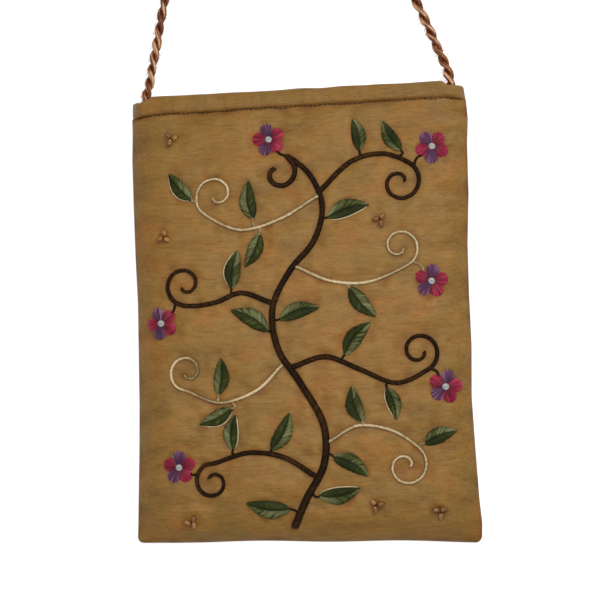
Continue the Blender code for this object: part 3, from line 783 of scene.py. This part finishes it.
def edge_sway(x, y):
    """The slight waver of the bag's outline."""
    outwards = np.where(x < 0, np.interp(y, WAVER_Y, WAVER_LEFT), np.interp(y, WAVER_Y, WAVER_RIGHT))
    sway_x = np.sign(x) * outwards * (np.abs(x) / HALF_WIDTH) ** 6
    sway_y = 0.2 * wave(x, 50, 22) + 0.8 * np.cos(math.pi * x / HALF_WIDTH / 2) - 0.2
    return sway_x, sway_y * clamped(-y / HALF_HEIGHT) ** 8


def seam_dip(x):
    """How much lower the seam below the hem runs towards the left end of the mouth."""
    start = 40
    return 1.1 * clamped((start - x) / (start + HALF_WIDTH))


def hem_drop(x):
    """How much lower the hem's upper edge lies outside the cord, where it ends in a small ear."""
    t = clamped((np.abs(x) - EAR_START) / 3)
    notch = bell(np.abs(x) - EAR_NOTCH, 0.8)
    corner = clamped((x - EAR_CORNER) / 1.2) ** 2
    return 1.8 * t * t * (3 - 2 * t) + 0.5 * notch + 0.5 * corner - 0.3 * clamped((-x - 71) / 4)


def panel_grid(step, fine):
    x, y = np.meshgrid(spaced(-HALF_WIDTH, HALF_WIDTH, step, fine), spaced(-HALF_HEIGHT, PANEL_Y, step, fine))
    x, y = rounded(x, y)
    sway_x, sway_y = edge_sway(x, y)
    dip_start = 60
    dip = seam_dip(x) * clamped((y - dip_start) / (PANEL_Y - dip_start))
    tuck_run = 1.5
    tuck = 0.45 * clamped((y - PANEL_Y + tuck_run) / tuck_run)
    return x, y, x + sway_x, y + sway_y - dip + tuck


def edge_roll(x, y, depth):
    """How far the very edge of a panel rolls over."""
    return depth * (1 - clamped(from_seams(x, y))) ** 2


def make_panels():
    x, y, seen_x, seen_y = panel_grid(1.0, 0.4)
    top = silk_top(x, y) - edge_roll(x, y, 0.5)
    under = panel_top(x, y) - SILK + 0.8 * relief.at(x, y)
    uneven = 1 + 0.3 * ripple(x, y, 12, 33)
    seam = share(inward(x), 9) * np.exp(-(PANEL_Y - y) / 0.8)
    # Painted shade: darker at the seams, in the groove below the hem, beside the stitches and in creases; crests get a
    # faint painted highlight.
    painted_shading = 0.5 - uneven * (0.34 * np.exp(-from_seams(x, y) / 0.8) + 0.36 * seam
                           + 0.22 * np.exp(-relief.distance(x, y) / 1.0) + 0.08 * relief.creased(x, y))
    front = slab_piece("silk_front", "silk", "front_panel", xyz(seen_x, seen_y, top), xyz(seen_x, seen_y, under), painted_shading)

    x, y, seen_x, seen_y = panel_grid(2.4, 0.6)
    sag = np.clip(0.10 + 0.09 * ripple(x, y, 34, 31), 0, 0.3) * clamped(from_seams(x, y) / 8)
    under = sag + edge_roll(x, y, 0.3)
    back = slab_piece("silk_back", "silk", "back_panel", xyz(seen_x, seen_y, SILK), xyz(seen_x, seen_y, under))


def make_hem(name, node, front):
    """A padded roll along the mouth, with small puckers where its seam draws it in."""
    columns = spaced(-HALF_WIDTH, HALF_WIDTH, 0.8, 0.3, 4.0)
    v = (1 - np.cos(np.linspace(0, math.pi, 21))) / 2
    thickness = HEM_FRONT if front else HEM_BACK
    x, part = np.meshgrid(columns, v, indexing="ij")
    crown = clamped(1 - np.abs(2 * part - 1) ** 2.6) ** 0.5
    pinch = 0.7 + 0.3 * share(inward(x), HEM_RUN) - 0.4 * (1 - share(inward(x), 5))
    flat_end = 0.45 + 0.55 * share(inward(x), 5)
    rise = HEM_EDGE * flat_end * clamped(6 * np.minimum(part, 1 - part)) ** 0.5
    rise = rise + (thickness - HEM_EDGE) * crown * pinch
    seam = bell(part, 0.34)
    pucker = 0.16 * ripple(x, part * 2, 3.4, 41 + front) * (0.35 + 0.65 * seam)
    pucker += 0.14 * ripple(x, part * 4, 17, 43 + front)
    rise = np.maximum(rise + pucker * crown, 0.25 * HEM_EDGE)
    sway = 0.1 * wave(x, 22, 45 + front) * part
    y = HEM_Y + part * (HEM_HEIGHT - hem_drop(x)) + sway - seam_dip(x) * (1 - part)
    open_seam = share(inward(x), 9)
    # Painted shade: darker along the hem's seam at its foot and at its very ends.
    painted_shading = 0.5 - 0.3 * open_seam * np.exp(-part / 0.09) - 0.2 * np.exp(-inward(x) / 0.7)
    level = mouth_under(x) - 0.7 * (1 - share(inward(x), 8))
    x = x * (1 - np.where(x < 0, 0.8, 0.3) / HALF_WIDTH) + edge_sway(x, y)[0]
    if front:
        top, under = mouth_under(x) + rise, level
    else:
        top, under = HEM_BACK, np.maximum(HEM_BACK - rise, 0.02)
    slab_piece(name, "silk_hem", node, xyz(x, y, top), xyz(x, y, under), painted_shading)


def make_seam_stitches():
    """The dark line of small stitches in the groove below the hem; their dark brown also stands in as painted shade for
    the groove.
    """
    pitch = 2.2
    x = np.arange(-HALF_WIDTH + 6, HALF_WIDTH - 6, pitch)
    t = np.linspace(0, 1, 6)
    across = x[:, None] + t * pitch * 0.9
    y = PANEL_Y + 0.1 - seam_dip(across) + 0.14 * wave(across, 9, 51)
    z = silk_top(across, y) + 0.02 + 0.12 * np.sin(math.pi * t)
    shape = Shape()
    add_strands(shape, xyz(across, y, z), 0.48, rng.uniform(0.1, 0.8, len(x)), 0.8)
    shape.make("hem_stitches", "seam_thread")


def make_lining():
    """One pouch of thin cloth, open at its mouth."""
    mouth_y = HALF_HEIGHT - LINING_MOUTH
    columns = 41

    def walls(deeper):
        """The pouch's faces this far inside its outer ones: at each height once across its floor and back."""
        inset, floor = LINING_INSET + deeper, SEAM_LEVEL + deeper
        across = (HALF_WIDTH - inset) * np.linspace(-1, 1, columns)
        rows = spaced(-HALF_HEIGHT + inset, mouth_y, 4.0, 1.5)
        x, y = rounded(*np.meshgrid(np.concatenate([across, across[::-1]]), rows), inset)
        high = np.maximum(panel_top(x, y) - SILK - (CLEARANCE + deeper), floor + 0.05)
        return xyz(x, y, np.where(np.repeat([False, True], columns), high, floor))

    shape = Shape()
    shape.rings(np.concatenate([walls(0), walls(LINING)[::-1]])[None])
    shape.make("lining_cloth", "lining_cloth", "lining")


def make_zip():
    """The tapes and the two nylon coils of the closed zip."""
    half = HALF_WIDTH - TAPE_INSET
    lining_y = HALF_HEIGHT - LINING_MOUTH + CLEARANCE
    knee_y = HEM_Y - CLEARANCE
    end_y = ZIP_Y + CHAIN_THICKNESS / 2
    x, y = np.meshgrid(np.linspace(-half, half, 90), np.linspace(lining_y, end_y, 20))
    thick = TAPE + 0.04 * np.cos(math.tau * y / 1.2)
    level = np.where(y > knee_y, mouth_under(x), np.minimum(mouth_under(x), panel_top(x, y) - SILK)) - CLEARANCE
    slab_piece("tape_front", "tape_cloth", "zip_tape_front", xyz(x, y, level), xyz(x, y, level - thick))
    slope = clamped((y - lining_y) / (knee_y - lining_y))
    level = SEAM_LEVEL + (HEM_BACK + CLEARANCE - SEAM_LEVEL) * slope
    slab_piece("tape_back", "tape_cloth", "zip_tape_back", xyz(x, y, level + thick), xyz(x, y, level))

    reach = (PLATEAU - HEM_BACK) / 2 - 2 * CLEARANCE - TAPE
    pitch = 1.1
    wire = 0.24
    play = 0.06
    length = 2 * (HALF_WIDTH - CHAIN_INSET)
    turns = int(length / pitch)
    end = length / 2 - wire
    angle = np.linspace(0, math.tau * turns, turns * 14 + 1)
    for name, side in (("front", 1), ("back", -1)):
        centre = MOUTH_MIDDLE + side * (reach + 2 * play) / 2
        depth = (reach - 2 * play) / 2 - wire - play
        x = -length / 2 + wire + (length - 2 * wire) * angle / angle[-1] + (0 if side > 0 else pitch / 4)
        z = centre - side * depth * np.sign(np.cos(angle)) * np.abs(np.cos(angle)) ** 0.6
        y = ZIP_Y + (CHAIN_THICKNESS / 2 - wire - play) * np.sin(angle)
        shape = Shape()
        shape.wires(xyz(np.clip(x, -end, end), y, z)[None], wire, YARN_SIDES, up=(1, 0, 0))
        shape.make(f"coil_{name}", "zip_teeth", f"zip_chain_{name}")


# The embroidery's pieces


def add_padding(shape, crown, feet, shade):
    """Adds the padding under satin stitches: a little lower than their surface, with its feet inside the silk."""
    shape.slab(crown - [0, 0, PADDING_DROP], on_silk(feet[..., :2], -PADDING_DEPTH), shade)


def make_vines():
    """Stems of slanted satin stitches over a padded core, one piece for each thread."""
    shapes = {"brown": Shape(), "cream": Shape()}
    for name, (thread, root, tip, _, _) in VINES.items():
        line = vine_route(name, VINE_STEP)
        index = np.arange(len(line))
        run = index * VINE_STEP
        size = root + (tip - root) * np.linspace(0, 1, len(line))
        ends = clamped(np.minimum(run + 0.4, run[-1] - run + 0.3) / (1.1 * size))
        size = size * np.sqrt(1 - (1 - ends) ** 2)
        half = VINE_WIDTH / 2 * size
        shown = (line, sideways(line), half, VINE_HEIGHT * size)

        def surface(run_at, v):
            """The place on the stem's surface at a run along it and a share v across it."""
            at = np.clip(run_at / VINE_STEP, 0, index[-1])
            middle, out, wide, high = (interpolated(at, index, values) for values in shown)
            rise = high * np.sqrt(clamped(1 - np.abs(v) ** 2.2)) ** 1.1
            return on_silk(middle + out * (wide * v)[..., None], 0.05 + rise)

        core = np.meshgrid(np.arange(0, run[-1], 1.0), np.linspace(-0.97, 0.97, 9), indexing="ij")
        add_padding(shapes[thread], surface(*core), surface(core[0], 0.999 * core[1]), 0.25)

        starts = np.arange(0.2, run[-1] - 0.1, THREAD_PITCH * 0.92)
        t = np.linspace(-1, 1, 7)
        lean = 0.75 * np.interp(starts, run, half)
        along = starts[:, None] + lean[:, None] * t + 0.06 * rng.normal(size=(len(starts), 1))
        paths = surface(along, t * (1 + 0.05 * rng.normal(size=(len(starts), 1))))
        slow = 0.42 + 0.14 * wave(starts, 30, 60 + len(name))
        uneven, across = (0.09, 0.8) if thread == "cream" else (0.2, 0.25)
        strand = slow + uneven * rng.normal(size=len(starts))
        # Across each stem the stitches are paler at the middle and darker at the edges: painted highlight and shade,
        # strong on the cream stems and slight on the brown.
        shade = clamped(strand[:, None] + across * (0.55 - np.abs(t) ** 1.4))
        add_strands(shapes[thread], paths, THREAD_PITCH * 1.05, shade)
    for thread, shape in shapes.items():
        nodes = [name for name, vine in VINES.items() if vine[0] == thread]
        shape.make(f"{thread}_stems", f"{thread}_thread", *nodes)


def numbered(pattern, places):
    """The names of the nodes, one for each place."""
    return [pattern.format(number + 1) for number in range(len(places))]


def nearest_on_stem(place):
    """The place on a stem that lies nearest to the given one, with the stem's name and the way there."""
    best = None
    for name in VINES:
        line = vine_route(name, 0.5)
        away = np.hypot(*(line - place).T)
        i = int(away.argmin())
        if best is None or away[i] < best[2]:
            best = (name, line[i], float(away[i]))
    return best


def make_stalks():
    """Thin stitched stalks that join the leaves and the rosettes to their stems."""
    shapes = {"brown": Shape(), "cream": Shape()}
    wanted = [(np.array(leaf[:2], float), direction(math.radians(leaf[2])), 9.0) for leaf in LEAVES]
    wanted += [(np.array([x, y], float), None, 24.0) for x, y, _ in ROSETTES]
    for place, heading, longest in wanted:
        name, root, away = nearest_on_stem(place)
        leafy = heading is not None
        if away > longest:
            root, away = (place - heading * 3.0, 3.0) if leafy else (place, 0.0)
        if away < 0.3:
            continue
        way = unit(place - root)
        if leafy:
            tip = place + heading * 0.8
            middle = place - heading * min(1.6, 0.5 * away)
        else:
            tip = place - way * 4.0
            middle = (root + tip) / 2 + np.array([-way[1], way[0]]) * 0.12 * away
        line = smooth_route([root, middle, tip], 0.3)
        size = np.linspace(0.62, 0.42, len(line))
        shape = shapes[VINES[name][0]]
        shape.rings(sweep(on_silk(line, 0.25)[None], HALF_ROUND, size[None], size[None] * 0.9), 0.35)
        starts = np.arange(0, len(line) - 2, 1.4)
        t = np.linspace(-1, 1, 5)
        at = np.clip(starts[:, None] + 1.3 * t, 0, len(line) - 1)
        middle, out, wide = (interpolated(at, np.arange(len(line)), values) for values in (line, sideways(line), size))
        paths = on_silk(middle + out * (wide * t)[..., None])
        paths[..., 2] += 0.12 + 1.05 * wide * np.sqrt(1 - 0.9 * t**2)
        add_strands(shape, paths, THREAD_PITCH, clamped(0.4 + 0.13 * rng.normal(size=len(starts))))
    for thread, shape in shapes.items():
        shape.make(f"{thread}_stalks", f"{thread}_thread")


def leaf_surface(leaf, u, v, dip=0.28):
    place, full = leaf_place(leaf, u, v)
    rise = LEAF_THICKNESS * (0.35 + 0.75 * full) * np.sqrt(clamped(1 - np.abs(v) ** 2.4))
    rise = rise - dip * bell(v, 0.12)
    return on_silk(place, 0.08 + rise)


def make_leaves():
    """Leaves of two halves of slanted stitches that meet at a groove, shaded dark on one side."""
    green = Shape()
    outline = Shape()
    for number, leaf in enumerate(LEAVES):
        length = leaf[3]
        core = leaf_surface(leaf, *np.meshgrid(np.linspace(0.01, 0.99, 16), np.linspace(-0.96, 0.96, 9), indexing="ij"))
        add_padding(green, core, core, 0.15)
        count = round(length * 1.05 / (THREAD_PITCH * 0.95))
        dark_side = 1 if number % 2 else -1
        for half in (-1, 1):
            feet = np.linspace(-0.10, 0.93, count)
            t = np.linspace(0.02, 1, 7)
            lean = 0.20 + 0.03 * rng.normal(size=count)
            u = np.clip(feet[:, None] + lean[:, None] * t, 0.004, 0.996)
            overshoot = 1 + np.clip(0.045 * rng.normal(size=(count, 1)), -0.05, 0.11)
            paths = leaf_surface(leaf, u, half * t * overshoot)
            base = 0.2 if half == dark_side else 0.56
            drift = 0.14 * np.sin(feet * 5.2 + number * 1.7)
            streak = 0.09 * rng.normal(size=count)
            # Each stitch is paler at its middle and darker at its ends, by the groove and the leaf's edge: painted
            # highlight and shade. The dark and pale halves are thread colours.
            shade = clamped((base + drift + streak)[:, None] + 0.22 * np.sin(math.pi * t) - 0.06)
            add_strands(green, paths, THREAD_PITCH * 1.06, shade)
        # A dark strand along the groove between the halves: painted shade for the groove.
        u = np.linspace(0.0, 0.97, 26)
        add_strands(green, leaf_surface(leaf, u, 0 * u, 0.12)[None], 0.4, 0.08)
        if number % 3 == 1:
            u = np.linspace(0.02, 0.99, 30)
            rim = leaf_surface(leaf, u, dark_side * np.full_like(u, 0.99)) + [0, 0, 0.12]
            add_strands(outline, rim[None], 0.5, 0.8)
    green.make("leaf_stitches", "green_thread", *numbered("leaf_{:02d}", LEAVES))
    outline.make("leaf_outlines", "cream_thread")


def make_rosettes():
    """Round blossoms: petals of radial stitches by turns crimson and purple, about a pale knot."""
    shapes = {"crimson": Shape(), "purple": Shape(), "silver": Shape()}
    spread = math.pi / PETALS

    def surface(centre, start, angle, reach, petal_angle):
        """The place on a blossom at an angle about its centre and a share of the way out along a petal."""
        lobe = 0.6 + 0.4 * np.abs(np.cos((angle - start) * PETALS / 2)) ** 0.6
        radius = ROSETTE_RADIUS * lobe * reach
        place = np.stack(circling(*centre, radius, angle), -1)
        dome = 0.35 + 0.65 * np.sqrt(clamped(1 - reach**2))
        fold = np.cos(np.clip((angle - petal_angle) / spread, -1, 1) * math.pi / 2)
        plump = clamped(fold) ** 0.5 * np.sin(math.pi * clamped(reach)) ** 0.5
        rise = ROSETTE_HEIGHT * (0.62 * dome + 0.55 * plump) * np.sqrt(clamped(1 - reach**6))
        return on_silk(place, 0.06 + rise)

    for x, y, turn in ROSETTES:
        start = math.radians(turn)
        for petal in range(PETALS):
            thread = "purple" if petal in (1, 3) else "crimson"
            middle = start + math.tau / PETALS * petal
            angles, reaches = np.meshgrid(np.linspace(middle - spread, middle + spread, 11),
                                          np.linspace(0.12, 0.97, 9), indexing="ij")
            core = surface((x, y), start, angles, reaches, middle)
            add_padding(shapes[thread], core, core, 0.1)
            angle = np.linspace(middle - spread * 0.93, middle + spread * 0.93, PETAL_STITCHES)
            inner = np.where(np.arange(PETAL_STITCHES) % 2, 0.16, 0.34)
            t = np.linspace(0, 1, 7)
            reach = inner[:, None] + (1.0 - inner[:, None]) * t
            paths = surface((x, y), start, np.broadcast_to(angle[:, None], reach.shape), reach, middle)
            shade = 0.08 + 0.62 * t**1.4 + 0.19 * rng.normal(size=(PETAL_STITCHES, 1))
            add_strands(shapes[thread], paths, 0.5, clamped(shade))
        wind = np.linspace(0, 1, 90)
        angle = np.linspace(0, math.tau * 3.6, len(wind))
        radius = 1.15 * np.cos(wind * math.pi / 2) ** 0.6 + 0.05
        level = silk_top(np.array(x), np.array(y)) + 0.95 + 0.85 * np.sin(wind * math.pi / 2)
        knot = xyz(*circling(x, y, radius, angle), level)
        shapes["silver"].wires(knot[None], 0.32, 7, clamped(0.6 + 0.2 * np.sin(angle * 2.3))[None, :, None])
    shapes["crimson"].make("crimson_petals", "crimson_thread", *numbered("rosette_{}", ROSETTES))
    shapes["purple"].make("purple_petals", "purple_thread")
    shapes["silver"].make("knots", "silver_thread")


def make_beads():
    """Small glass beads with holes, sewn down in threes."""
    glass = Shape()
    thread = Shape()
    radius = BEAD_DIAMETER / 2
    yarn = 0.22
    knot_yarn = 0.26
    stretch = 1.4
    around = whole_turn(14)
    profile = [(0.30, 0.62), (0.56, 0.90), (0.82, 0.68), (0.92, 0.0), (0.82, -0.68), (0.56, -0.90), (0.30, -0.62)]
    for centre_x, centre_y, turn in BEADS:
        knot = np.array([centre_x, centre_y])
        level = float(silk_top(*knot))
        for i in range(3):
            angle = math.radians(turn + 120 * i)
            out = direction(angle)
            place = knot + out * radius * rng.uniform(1.45, 1.8)
            axis = angle + rng.uniform(-0.5, 0.5)
            tilt = rng.uniform(-0.35, 0.35)
            along = np.array([math.cos(axis) * math.cos(tilt), math.sin(axis) * math.cos(tilt), math.sin(tilt)])
            side = unit(np.cross(along, (0, 0, 1)))
            top = np.cross(side, along)
            middle = np.array([*place, float(silk_top(*place)) + radius * 0.9])
            rings = []
            for spin in around:
                spoke = side * math.cos(spin) + top * math.sin(spin)
                rings.append([middle + radius * (reach * spoke + stretch * rise * along) for reach, rise in profile])
            quads = grid_quads(len(around) + 1, len(profile), closed=True) % (len(around) * len(profile))
            glass.add(rings, quads, shade=rng.uniform(0.15, 0.95))
            reach = radius * np.array([-1.6, -1.1, -0.4, 0.4, 1.1, 1.6])
            sink = radius * np.array([-0.95, -0.25, 0, 0, -0.25, -0.95])
            path = middle + reach[:, None] * along + sink[:, None] * [0, 0, 1]
            thread.wires(path[None], yarn, YARN_SIDES, 0.6)
        wind = np.linspace(0, 1, 40)
        turns = np.linspace(0, math.tau * 2.5, len(wind))
        path = xyz(knot[0] + 0.45 * np.cos(turns) * (1 - 0.6 * wind), knot[1] + 0.45 * np.sin(turns) * (1 - 0.6 * wind),
                   level + 0.25 + 0.9 * wind)
        thread.wires(path[None], knot_yarn, YARN_SIDES)
    glass.make("beads", "bead_glass", *numbered("beads_{}", BEADS), angle=80)
    thread.make("bead_threads", "seam_thread")


# The cord's pieces


def cord_route():
    """The whole middle line of the cord: one visible run, the coil in two layers, and the other run."""
    start_x = HALF_WIDTH - CORD_INSET
    inside = float((HEM_BACK + mouth_under(start_x)) / 2)
    start_y = HALF_HEIGHT - CORD_TUCK
    left = [(-start_x, start_y, inside), (-start_x, HALF_HEIGHT, inside), (-67.1, 106, 4.1), (-65.4, 116, 3.0),
            (-63.2, 128, 2.2), (-59.6, 146, 2), (-56.5, 152, 2), (-50, 157, 2), (-42, 160.5, 2), (-36, 164, 2.6),
            (-33.2, 169.7, 3.2)]
    right = [(start_x, start_y, inside), (start_x, HALF_HEIGHT, inside), (67.4, 106, 4.1), (63.5, 116, 3.0),
             (59.4, 127, 2.2), (54.3, 139, 2), (50, 147, 2), (43, 153, 2), (35, 157.5, 2.4), (28.5, 162.5, 3.9),
             (25.2, 169.7, 5.2)]
    coil = []
    low, high = COIL_LEVELS
    for part in np.arange(0, 4.0001, 1 / 16):
        radius = COIL_OUTER_TURN - (COIL_OUTER_TURN - COIL_INNER_TURN) * part / 4
        coil.append((math.pi - math.tau * part, radius, low))
    for part in np.arange(1 / 16, 3.5001, 1 / 16):
        radius = COIL_INNER_TURN + CORD_DIAMETER * part
        rise = min(1.0, part / 0.6)
        coil.append((math.pi - math.tau * part, radius, low + (high - low) * (3 * rise**2 - 2 * rise**3)))
    wound = [(COIL_CENTRE[0] + radius * math.cos(angle), COIL_CENTRE[1] + radius * math.sin(angle), z)
             for angle, radius, z in coil]
    points = [*left, (-33.9, 178, 3.2), *wound, (24.6, 177.5, 6.9), *right[::-1]]
    return smooth_route(points, CORD_STEP)


def make_cord():
    """A limp two-ply cord: each ply winds about the other and is itself a bundle of ridged fibres."""
    line = cord_route()
    ahead = heading_along(line)
    side = np.zeros_like(line)
    side[0] = unit(np.cross(ahead[0], (0, 0, 1)))
    for i in range(1, len(line)):
        side[i] = unit(side[i - 1] - ahead[i] * np.dot(side[i - 1], ahead[i]))
    top = np.cross(side, ahead)
    run = run_along(line)
    bundles = 5
    shape = Shape()
    for ply in (0, 1):
        wind = math.tau * run / PLY_PITCH + math.pi * ply + 0.5 * wave(run, 70, 71)
        out = spokes(side, top, wind)
        centre = line + out * PLY_OFFSET * (1 + 0.05 * wave(run, 19, 73 + ply))[:, None]
        aside = unit(np.cross(heading_along(centre), out))
        spin = whole_turn(24)
        turned = spin - 0.72 * wind[:, None] + 0.25 * wave(run, 23, 75)[:, None]
        groove = clamped(-np.cos(bundles * turned)) ** 2
        bundle = np.round(bundles * turned / math.tau).astype(int) % bundles
        tone = rng.uniform(0.36, 0.9, bundles)[bundle] + 0.10 * wave(run, 5, 81 + ply)[:, None]
        swell = 1 + 0.06 * wave(run, 12, 77 + ply)
        radius = PLY_RADIUS * (1.03 - 0.13 * groove) * swell[:, None]
        rings = centre[:, None, :] + radius[..., None] * (
            out[:, None, :] * np.cos(spin)[:, None] + aside[:, None, :] * np.sin(spin)[:, None])
        rings[..., 2] = np.maximum(rings[..., 2], 0.02)
        # Painted shade and highlight: darker towards the cord's middle and in the grooves between fibre bundles, palest
        # on the outermost fibres; each bundle's tone differs at random.
        depth = np.linalg.norm(rings - line[:, None, :], axis=-1)
        shade = clamped((depth - 0.7) / 1.25) ** 1.3 * np.clip(tone, 0.2, 1) * (1 - 0.5 * groove)
        shape.rings(rings[None], shade[None])
    cord = shape.make("neck_cord", "cord_rayon", "cord_left", "cord_right", "cord_coil")
    tie = make_tie()
    fuzz = make_fuzz(line, side, top)


def make_fuzz(line, side, top):
    """Short loose fibres that stand out from the cord."""
    feet = np.repeat(np.arange(2, len(line) - 2), 2)
    feet = feet[rng.uniform(size=len(feet)) < 0.85]
    count = len(feet)
    angle = rng.uniform(0, math.tau, count)
    out = spokes(side[feet], top[feet], angle)
    ahead = heading_along(line)[feet] * rng.choice([-1, 1], count)[:, None]
    reach = rng.uniform(0.6, 1.7, count)[:, None]
    drift = rng.uniform(0.4, 1.8, count)[:, None]
    t = np.linspace(0, 1, 5)[None, :, None]
    start = line[feet] + out * 1.5
    bend = rng.uniform(-0.6, 0.6, count)[:, None]
    across = np.cross(out, ahead)
    paths = start[:, None] + (out * reach)[:, None] * np.sin(t * 1.9) + (ahead * drift)[:, None] * t
    paths = paths + (across * bend)[:, None] * t**2
    fibre = 0.08
    paths[..., 2] = np.maximum(paths[..., 2], fibre)
    shape = Shape()
    shape.wires(paths, fibre, 3, rng.uniform(0.3, 0.9, (count, 1, 1)), up=(0.1, 0.2, 1))
    return shape.make("cord_fuzz", "cord_rayon")


def make_tie():
    """A whipping of the same yarn, wound side by side, that holds the coil on the side away from the bag."""
    inner = COIL_INNER_TURN - CORD_DIAMETER / 2 - 0.1
    outer = COIL_OUTER_TURN + CORD_DIAMETER / 2 + 0.1
    low = 0.55
    height = 1.2 + 2 * CORD_DIAMETER + 0.5
    yarn = 0.52
    winds = 6
    corner = 1.6
    loop = [(inner + corner, low), (outer - corner, low), (outer, low + corner), (outer, height - corner),
            (outer - corner, height), ((inner + outer) / 2, height - 0.5), (inner + corner, height),
            (inner, height - corner), (inner, low + corner)]
    step = 0.7
    once = resampled(smooth_route([*loop, loop[0]], 0.5), step)[:-1]
    along = np.arange(len(once) * winds) * step
    x = COIL_CENTRE[0] + np.linspace(-1, 1, len(along)) * (TIE_WIDTH / 2 - yarn) + 0.08 * wave(along, 18, 91)
    path = xyz(x, COIL_CENTRE[1] + np.tile(once[:, 0], winds), np.tile(once[:, 1], winds))
    shape = Shape()
    shape.wires(path[None], yarn, 8, 0.42 + 0.12 * wave(along, 9, 93)[None, :, None], up=(1, 0, 0))
    return shape.make("coil_band", "cord_rayon", "cord_tie")


# The whole scene


def dress_nodes():
    """Gives the metal parts that stay as they are their material."""
    for name in ("zip_stop_open", "zip_stop_closed", "zip_slider", "zip_pull"):
        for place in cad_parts[name].material_slots:
            place.material = LOOKS["zip_metal"]


def make_floor():
    """A white floor. Seen directly it is lifted to white, more so far out, and it keeps the bag's soft shadow."""
    mesh = bpy.data.meshes.new("floor")
    far, level = 2, -0.0001
    corners = [(-far, -far, level), (far, -far, level), (far, far, level), (-far, far, level)]
    mesh.from_pydata(corners, [], [(0, 1, 2, 3)])
    look = Look("floor", Roughness=0.9, Base_Color=(0.86, 0.86, 0.86, 1))
    place = look.node("ShaderNodeTexCoord").outputs["Object"]
    away = look.node("ShaderNodeVectorMath", {0: place}, operation="LENGTH").outputs["Value"]
    lift = look.node("ShaderNodeMapRange", {"Value": away, "From Min": 0.25, "From Max": 0.8,
                                            "To Min": 0.7, "To Max": 1.0}).outputs["Result"]
    strength = look.math("MULTIPLY", look.seen(1.0), lift)
    glow = look.node("ShaderNodeEmission", {"Color": (1, 1, 1, 1), "Strength": strength}).outputs[0]
    both = look.node("ShaderNodeAddShader", {0: look.shader.outputs[0], 1: glow}).outputs[0]
    look.set(look.tree.nodes["Material Output"].inputs["Surface"], both)
    mesh.materials.append(look.material)
    add_object("floor", mesh)


def make_light():
    world = bpy.data.worlds.new("studio")
    bpy.context.scene.world = world
    world.use_nodes = True
    sky = Nodes(world.node_tree)
    background = sky.tree.nodes["Background"]
    background.inputs["Color"].default_value = (1, 1, 1, 1)
    sky.set(background.inputs["Strength"], sky.math("ADD", sky.seen(1 - SKY_LIGHT), SKY_LIGHT))
    for name, place, size, power in (("key", (0.34, 0.36, 0.5), 0.14, 1.6), ("fill", (0.0, 0.0, 0.25), 0.2, 0.3)):
        lamp = bpy.data.lights.new(name, "AREA")
        lamp.energy = power
        lamp.size = size
        lamp_object = add_object(name, lamp)
        lamp_object.location = place
        lamp_object.rotation_euler = (Vector() - Vector(place)).to_track_quat("-Z", "Y").to_euler()


def make_camera():
    camera = bpy.data.cameras.new("camera")
    camera.lens = 60
    camera.sensor_width = 36
    camera.clip_start = 0.01
    view = add_object("camera", camera)
    view.location = (0.0501, -0.0193, 0.4425)
    view.rotation_euler = tuple(math.radians(angle) for angle in (3.159, 6.642, -1.435))
    bpy.context.scene.camera = view
    bpy.context.scene.view_settings.view_transform = "Standard"


make_camera()
make_light()
make_floor()
make_cord()
make_panels()
make_hem("hem_front", "front_hem", True)
make_hem("hem_back", "back_hem", False)
make_seam_stitches()
make_lining()
make_zip()
make_vines()
make_stalks()
make_leaves()
make_rosettes()
make_beads()
dress_nodes()
